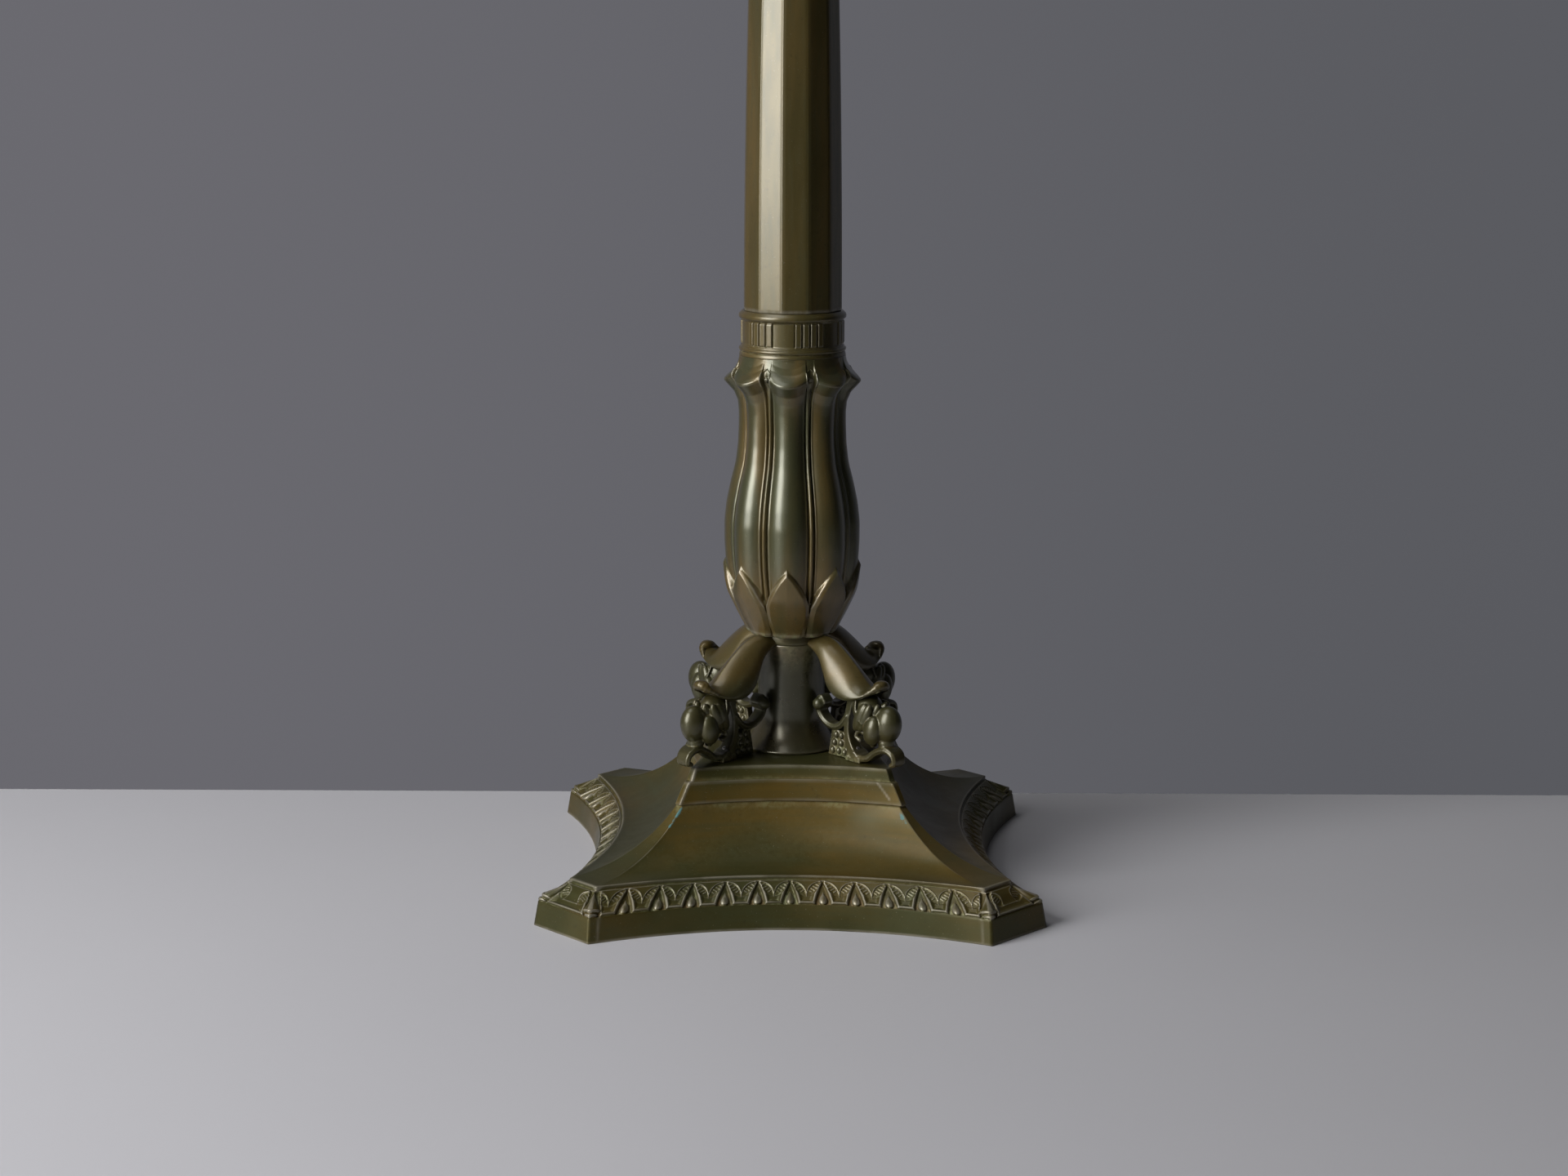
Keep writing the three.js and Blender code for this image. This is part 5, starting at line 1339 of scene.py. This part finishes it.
def build_filament():
    """A coiled wire that zigzags round a post with five hooks."""
    low, top = span("filament")
    angle = [math.pi * k * 0.82 / 4 for k in range(9)]
    zigzag = [(8.5 * math.cos(t), 8.5 * math.sin(t), top - 0.7 if k % 2 else low + 5.2) for k, t in enumerate(angle)]
    way = smooth_curve(zigzag, 2400)
    turns = (np.arange(len(way)) * TAU / 9)[:, None]
    out = way * (1, 1, 0) / np.linalg.norm(way[:, :2], axis=1)[:, None]
    coil = way + 0.3 * (np.cos(turns) * out + np.sin(turns) * np.cross((0, 0, 1), out))
    solids = [swept(coil, 0.11, 5), swept([(0, 0, low), (0, 0, low + 7.2)], 0.8, 16)]
    for x, y, z in zigzag[::2]:
        arm = [(0, 0, low + 5.6), (x / 2, y / 2, low + 5.7), (x, y, z + 0.1), (x * 1.07, y * 1.07, z - 0.4),
               (x, y, z - 0.7)]
        solids.append(swept(smooth_curve(arm, 16), 0.3, 8))
    piece("filament", gather(*solids), WIRE, "filament_wire", "bulb", (2,))


# Underside: rod, nuts, washer, screws, terminal block, lead and inlet

def build_screws():
    low, top = span(f"bracket_screw_{CORNERS[0]}")
    head = 2.8
    clay = Clay((-4.4, -4.4, low - 0.6), (4.4, 4.4, top + 0.6), 0.2)
    clay.rod([(0, 0, low + 1), (0, 0, top - 2)], 1.9, 0.2)

    def dome(x, y, z):
        far = np.hypot(x, y)
        ball = np.sqrt(far**2 + (z - low - 4.6) ** 2) - 4.6
        return np.maximum(np.maximum(ball, far - 3.75), np.abs(z - low - head / 2) - head / 2)

    clay.join(dome, (-4, -4, low), (4, 4, low + head), 0.2)
    clay.slab((-5, -0.5, low - 1), (5, 0.5, low + 1.3), 0.05, 0.1, True)
    points, quads = clay.surface()
    for k, corner in enumerate(CORNERS):
        turn = math.pi / 4 + k * math.pi / 2
        placed = rotated(points, turn + 0.7 * k) + (45 * math.cos(turn), 45 * math.sin(turn), 0)
        piece(f"bracket_screw_{corner}", (placed, [quads]), STEEL, "steel", wear=(4,))


def build_underside():
    low, top = span("hollow_rod")
    threads = thread(low, low + 13, 1.0, 0.3, 4.4), thread(top - 12, top, 1.0, 0.3, 4.4)

    def ends(radius, height, angle):
        return threads[0](threads[1](radius, height, angle), height, angle)

    sides = [(5, z) for z in (*np.arange(low + 0.85, low + 13, 0.25), *np.arange(top - 12, top - 0.6, 0.25))]
    outline = [*raised(low, (3.6, 0.4), (4.0, 0), (4.5, 0), (5, 0.6)), *sides,
               *raised(top, (5, -0.4), (4.6, 0), (3.6, 0))]
    piece("hollow_rod", turned(outline, 64, 0.02, 30, ends), STEEL, "steel", wear=(3,))
    for name in ("base_nut", "holder_nut"):
        low, top = span(name)
        outline = [*raised(low, (5.15, 0.5), (5.7, 0), (7.9, 0), (9.9, 1.1)),
                   *raised(top, (9.9, -1.1), (7.9, 0), (5.7, 0), (5.15, -0.5))]
        piece(name, turned(outline, 96, 0.1, 0.8, hexagon(17)), STEEL, "steel", wear=(4, 0.2, 0.15))
    low, top = span("base_washer")
    outline = [(5.2, low), (13.6, low), (14, low + 0.5), (14, top), (5.2, top)]
    piece("base_washer", turned(outline, 96, 0.2, 1.0), STEEL, "steel")
    build_screws()
    build_terminals()
    low, high = (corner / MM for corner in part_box("cord_inlet_bush"))
    outline = [(2.95, 0.8), (3.6, 0), (4.0, 0.3),
               *raised(high.y - low.y, (4.0, -2.1), (5.2, -2.1), (5.2, -0.9), (4.6, 0), (3.7, 0), (2.95, -0.9))]
    bush = laid(turned(outline, 72, 0.25, 0.8), ALONG_Y, (0, low.y, (low.z + high.z) / 2))
    piece("cord_inlet_bush", bush, BRASS, "brass")


def build_terminals():
    low, high = (np.array(corner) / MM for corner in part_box("terminal_block"))
    clay = Clay(low - 1, high + 1, 0.3)
    clay.slab(low, high, 1.2)
    clay.slab((-0.9, low[1] - 1, low[2] - 1), (0.9, high[1] + 1, low[2] + 2.2), 0.3, 0.3, True)
    screws = []
    for name in ("terminal_screw_left", "terminal_screw_right"):
        a, b = (np.array(corner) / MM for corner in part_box(name))
        x, y, _ = (a + b) / 2
        clay.slab((x - 2.1, y - 2.1, low[2] - 1), (x + 2.1, y + 2.1, b[2] + 0.2), 1.9, 0.2, True)
        clay.slab((x - 1.2, low[1] - 1, b[2] + 0.6), (x + 1.2, high[1] + 1, b[2] + 3), 1.1, 0.2, True)
        outline = [(0, 0), (1.5, 0.1), (1.75, 0.5), (1.75, 1.2), (1.4, 1.5), (1.4, b[2] - a[2]), (0, b[2] - a[2])]
        points, faces = turned(outline, 40, 0.15, 0.25, thread(1.5, 6, 0.6, 0.2))
        points[(np.abs(points[:, 1]) < 0.35) & (points[:, 2] < 0.3), 2] = 0.75
        screws.append((name, (points + (x, y, a[2]), faces)))
    points, quads = clay.surface()
    piece("terminal_block", (points, [quads]), PORCELAIN, "porcelain", wear=(5, 0.4, 0.4))
    for name, screw in screws:
        piece(name, screw, BRASS, "brass", wear=(2,))
    build_lead(low[2], (low[1] + high[1]) / 2)


def build_lead(block_foot, y):
    """The braided lead from the terminal block down, across and up inside the rod."""
    foot, top = span("hollow_rod")
    dip = span("internal_lead")[0] + 2.3
    start = block_foot - GAP
    route = [(0, y + 4, start), (0, y + 4, start - 6), (0, y + 1, start - 14), (0, y - 9, dip + 0.2),
             (0, 8, dip + 0.4), (0, 1.5, dip + 8.2), (0, 0, foot - 2), (0, 0, foot + 40)]
    far = np.column_stack([np.zeros((20, 2)), np.linspace(foot + 50, top - 1, 20)])
    path = np.vstack([smooth_curve(route, 300), far])
    at = np.concatenate([[0], np.cumsum(np.linalg.norm(np.diff(path, axis=0), axis=1))])[:, None]

    def braid(angle):
        strands = np.maximum(np.cos(6 * angle + at * 1.5), np.cos(6 * angle - at * 1.5))
        return 0.1 * strands * (at < 105)

    piece("internal_lead", swept(path, 2.15, 40, braid), LEAD, "lead_braid", wear=(3, 0.15, 0.15))


build_base()
build_foot()
build_urn()
build_neck()
build_column()
build_capital()
build_brackets()
build_holder()
build_shade_ring("lower_shade_ring")
build_shade_ring("upper_shade_ring")
build_key()
build_socket()
build_bulb()
build_underside()
dress(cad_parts["switch_block"], PORCELAIN)


# Floor, backdrop, lights and camera

TABLE_SIDE = 0.56
TABLE_RIGHT = 0.8
TABLE_EDGE = 0.134
TABLE_THICK = 0.04
BACKDROP = 2.2
WALL_HALF = 9
WALL_FOOT, WALL_TOP = -1.4, 2.8


def stage_plane(name, corners, material):
    mesh = bpy.data.meshes.new(name)
    mesh.from_pydata(corners, [], [(0, 1, 2, 3)])
    obj = bpy.data.objects.new(name, mesh)
    bpy.context.scene.collection.objects.link(obj)
    dress(obj, material)


def plain_paint(name, colour, other, rough):
    """Matt paint with a very faint cloud and grain."""
    p = Paint(name)
    shade = p.mix(p.ramp(p.noise(2.2, 3), 0.3, 0.7), colour, other)
    p.relief(p.noise(700, 3), 0.04, 0.0004)
    return p.set(Base_Color=shade, Roughness=rough)


def glowing_backdrop_paint(name, left, right, reach):
    """A backdrop that glows at its own brightness where it is seen, with painted shade that darkens it to the right,
    and adds no light to the object.
    """
    p = Paint(name)
    split = p.add("ShaderNodeSeparateXYZ", {0: p.place})
    across = p.plus(split.outputs["X"], p.times(p.noise(1.4, 3), 0.2))
    shade = p.mix(p.ramp(across, -reach, reach), left, right)
    p.relief(p.noise(700, 3), 0.04, 0.0004)
    return p.set(Base_Color=rgb(0.03, 0.03, 0.03), Roughness=0.9, Emission_Color=shade, Emission_Strength=p.seen())


def build_stage():
    """A pale table top that ends behind the lamp, its sides, and a grey wall further back."""
    table = plain_paint("table_paint", rgb(0.51, 0.504, 0.53), rgb(0.495, 0.489, 0.515), 0.5)
    # The wall's glow, lighter on the left and darker on the right, is painted shade
    wall = glowing_backdrop_paint("wall_paint", rgb(0.130, 0.128, 0.145), rgb(0.090, 0.092, 0.104), 1.1)
    corners = [(-TABLE_SIDE, -TABLE_SIDE), (TABLE_RIGHT, -TABLE_SIDE), (TABLE_RIGHT, TABLE_EDGE),
               (-TABLE_SIDE, TABLE_EDGE)]
    stage_plane("stage_table", [(x, y, 0) for x, y in corners], table)
    for k, (x, y) in enumerate(corners):
        u, v = corners[k - 1]
        side = [(u, v, -TABLE_THICK), (x, y, -TABLE_THICK), (x, y, 0), (u, v, 0)]
        stage_plane(f"stage_table_side_{k}", side, table)
    sides = [(-WALL_HALF, WALL_FOOT), (WALL_HALF, WALL_FOOT), (WALL_HALF, WALL_TOP), (-WALL_HALF, WALL_TOP)]
    stage_plane("stage_wall", [(x, BACKDROP, z) for x, z in sides], wall)


def area_light(name, place, aim, size, power):
    """A soft light that is aimed at a height on the lamp's axis."""
    data = bpy.data.lights.new(name, "AREA")
    data.shape = "RECTANGLE"
    data.size, data.size_y = size
    data.energy = power
    obj = bpy.data.objects.new(name, data)
    obj.location = place
    obj.rotation_euler = (Vector((0, 0, aim)) - Vector(place)).to_track_quat("-Z", "Y").to_euler()
    bpy.context.scene.collection.objects.link(obj)


def build_lights():
    """Three soft lights, and a faint sky that is lighter on the left and brighter where it is seen or mirrored."""
    area_light("key_left", (-1.30, -0.95, 0.82), 0.2, (0.9, 1.4), power=42)
    area_light("top_soft", (-0.7, -0.15, 1.9), 0.1, (1.0, 0.8), power=7.5)
    area_light("front_fill", (-1.2, -2.4, 0.9), 0.2, (1.8, 1.2), power=2.5)
    world = bpy.data.worlds.new("studio")
    sky = Nodes(world)
    split = sky.add("ShaderNodeSeparateXYZ", {0: sky.add("ShaderNodeTexCoord").outputs["Generated"]})
    across = sky.ramp(split.outputs["X"], -1, 1, kind="LINEAR")
    sides = sky.add("ShaderNodeValToRGB", {"Fac": across})
    for element, colour in zip(sides.color_ramp.elements, (rgb(0.42, 0.42, 0.45), rgb(0.06, 0.06, 0.066))):
        element.color = colour
    back = sky.tree.nodes["Background"]
    sky.feed(back.inputs["Color"], sides.outputs["Color"])
    sky.feed(back.inputs["Strength"], sky.ramp(sky.seen(), 0, 1, 0.06, 0.2, "LINEAR"))
    bpy.context.scene.world = world


CAMERA_PLACE = (0.0035, -1.3004, 0.4123)
CAMERA_YAW, CAMERA_PITCH, CAMERA_ROLL = -0.322, 11.722, 0.145
CAMERA_LENS = 62.13


def build_camera():
    """The camera that was fitted to the photo."""
    yaw, pitch, roll = (math.radians(turn) for turn in (CAMERA_YAW, CAMERA_PITCH, CAMERA_ROLL))
    ahead = Vector((math.sin(yaw) * math.cos(pitch), math.cos(yaw) * math.cos(pitch), -math.sin(pitch)))
    right = Vector((math.cos(yaw), -math.sin(yaw), 0))
    up = right.cross(ahead)
    tilted_right = right * math.cos(roll) + up * math.sin(roll)
    tilted_up = up * math.cos(roll) - right * math.sin(roll)
    data = bpy.data.cameras.new("photo_camera")
    data.sensor_width = 36
    data.sensor_fit = "HORIZONTAL"
    data.lens = CAMERA_LENS
    data.clip_start = 0.01
    camera = bpy.data.objects.new("photo_camera", data)
    turn = Matrix((tilted_right, tilted_up, -ahead)).transposed().to_4x4()
    camera.matrix_world = Matrix.Translation(CAMERA_PLACE) @ turn
    bpy.context.scene.collection.objects.link(camera)
    bpy.context.scene.camera = camera


build_stage()
build_lights()
build_camera()
bpy.context.scene.view_settings.view_transform = "Standard"
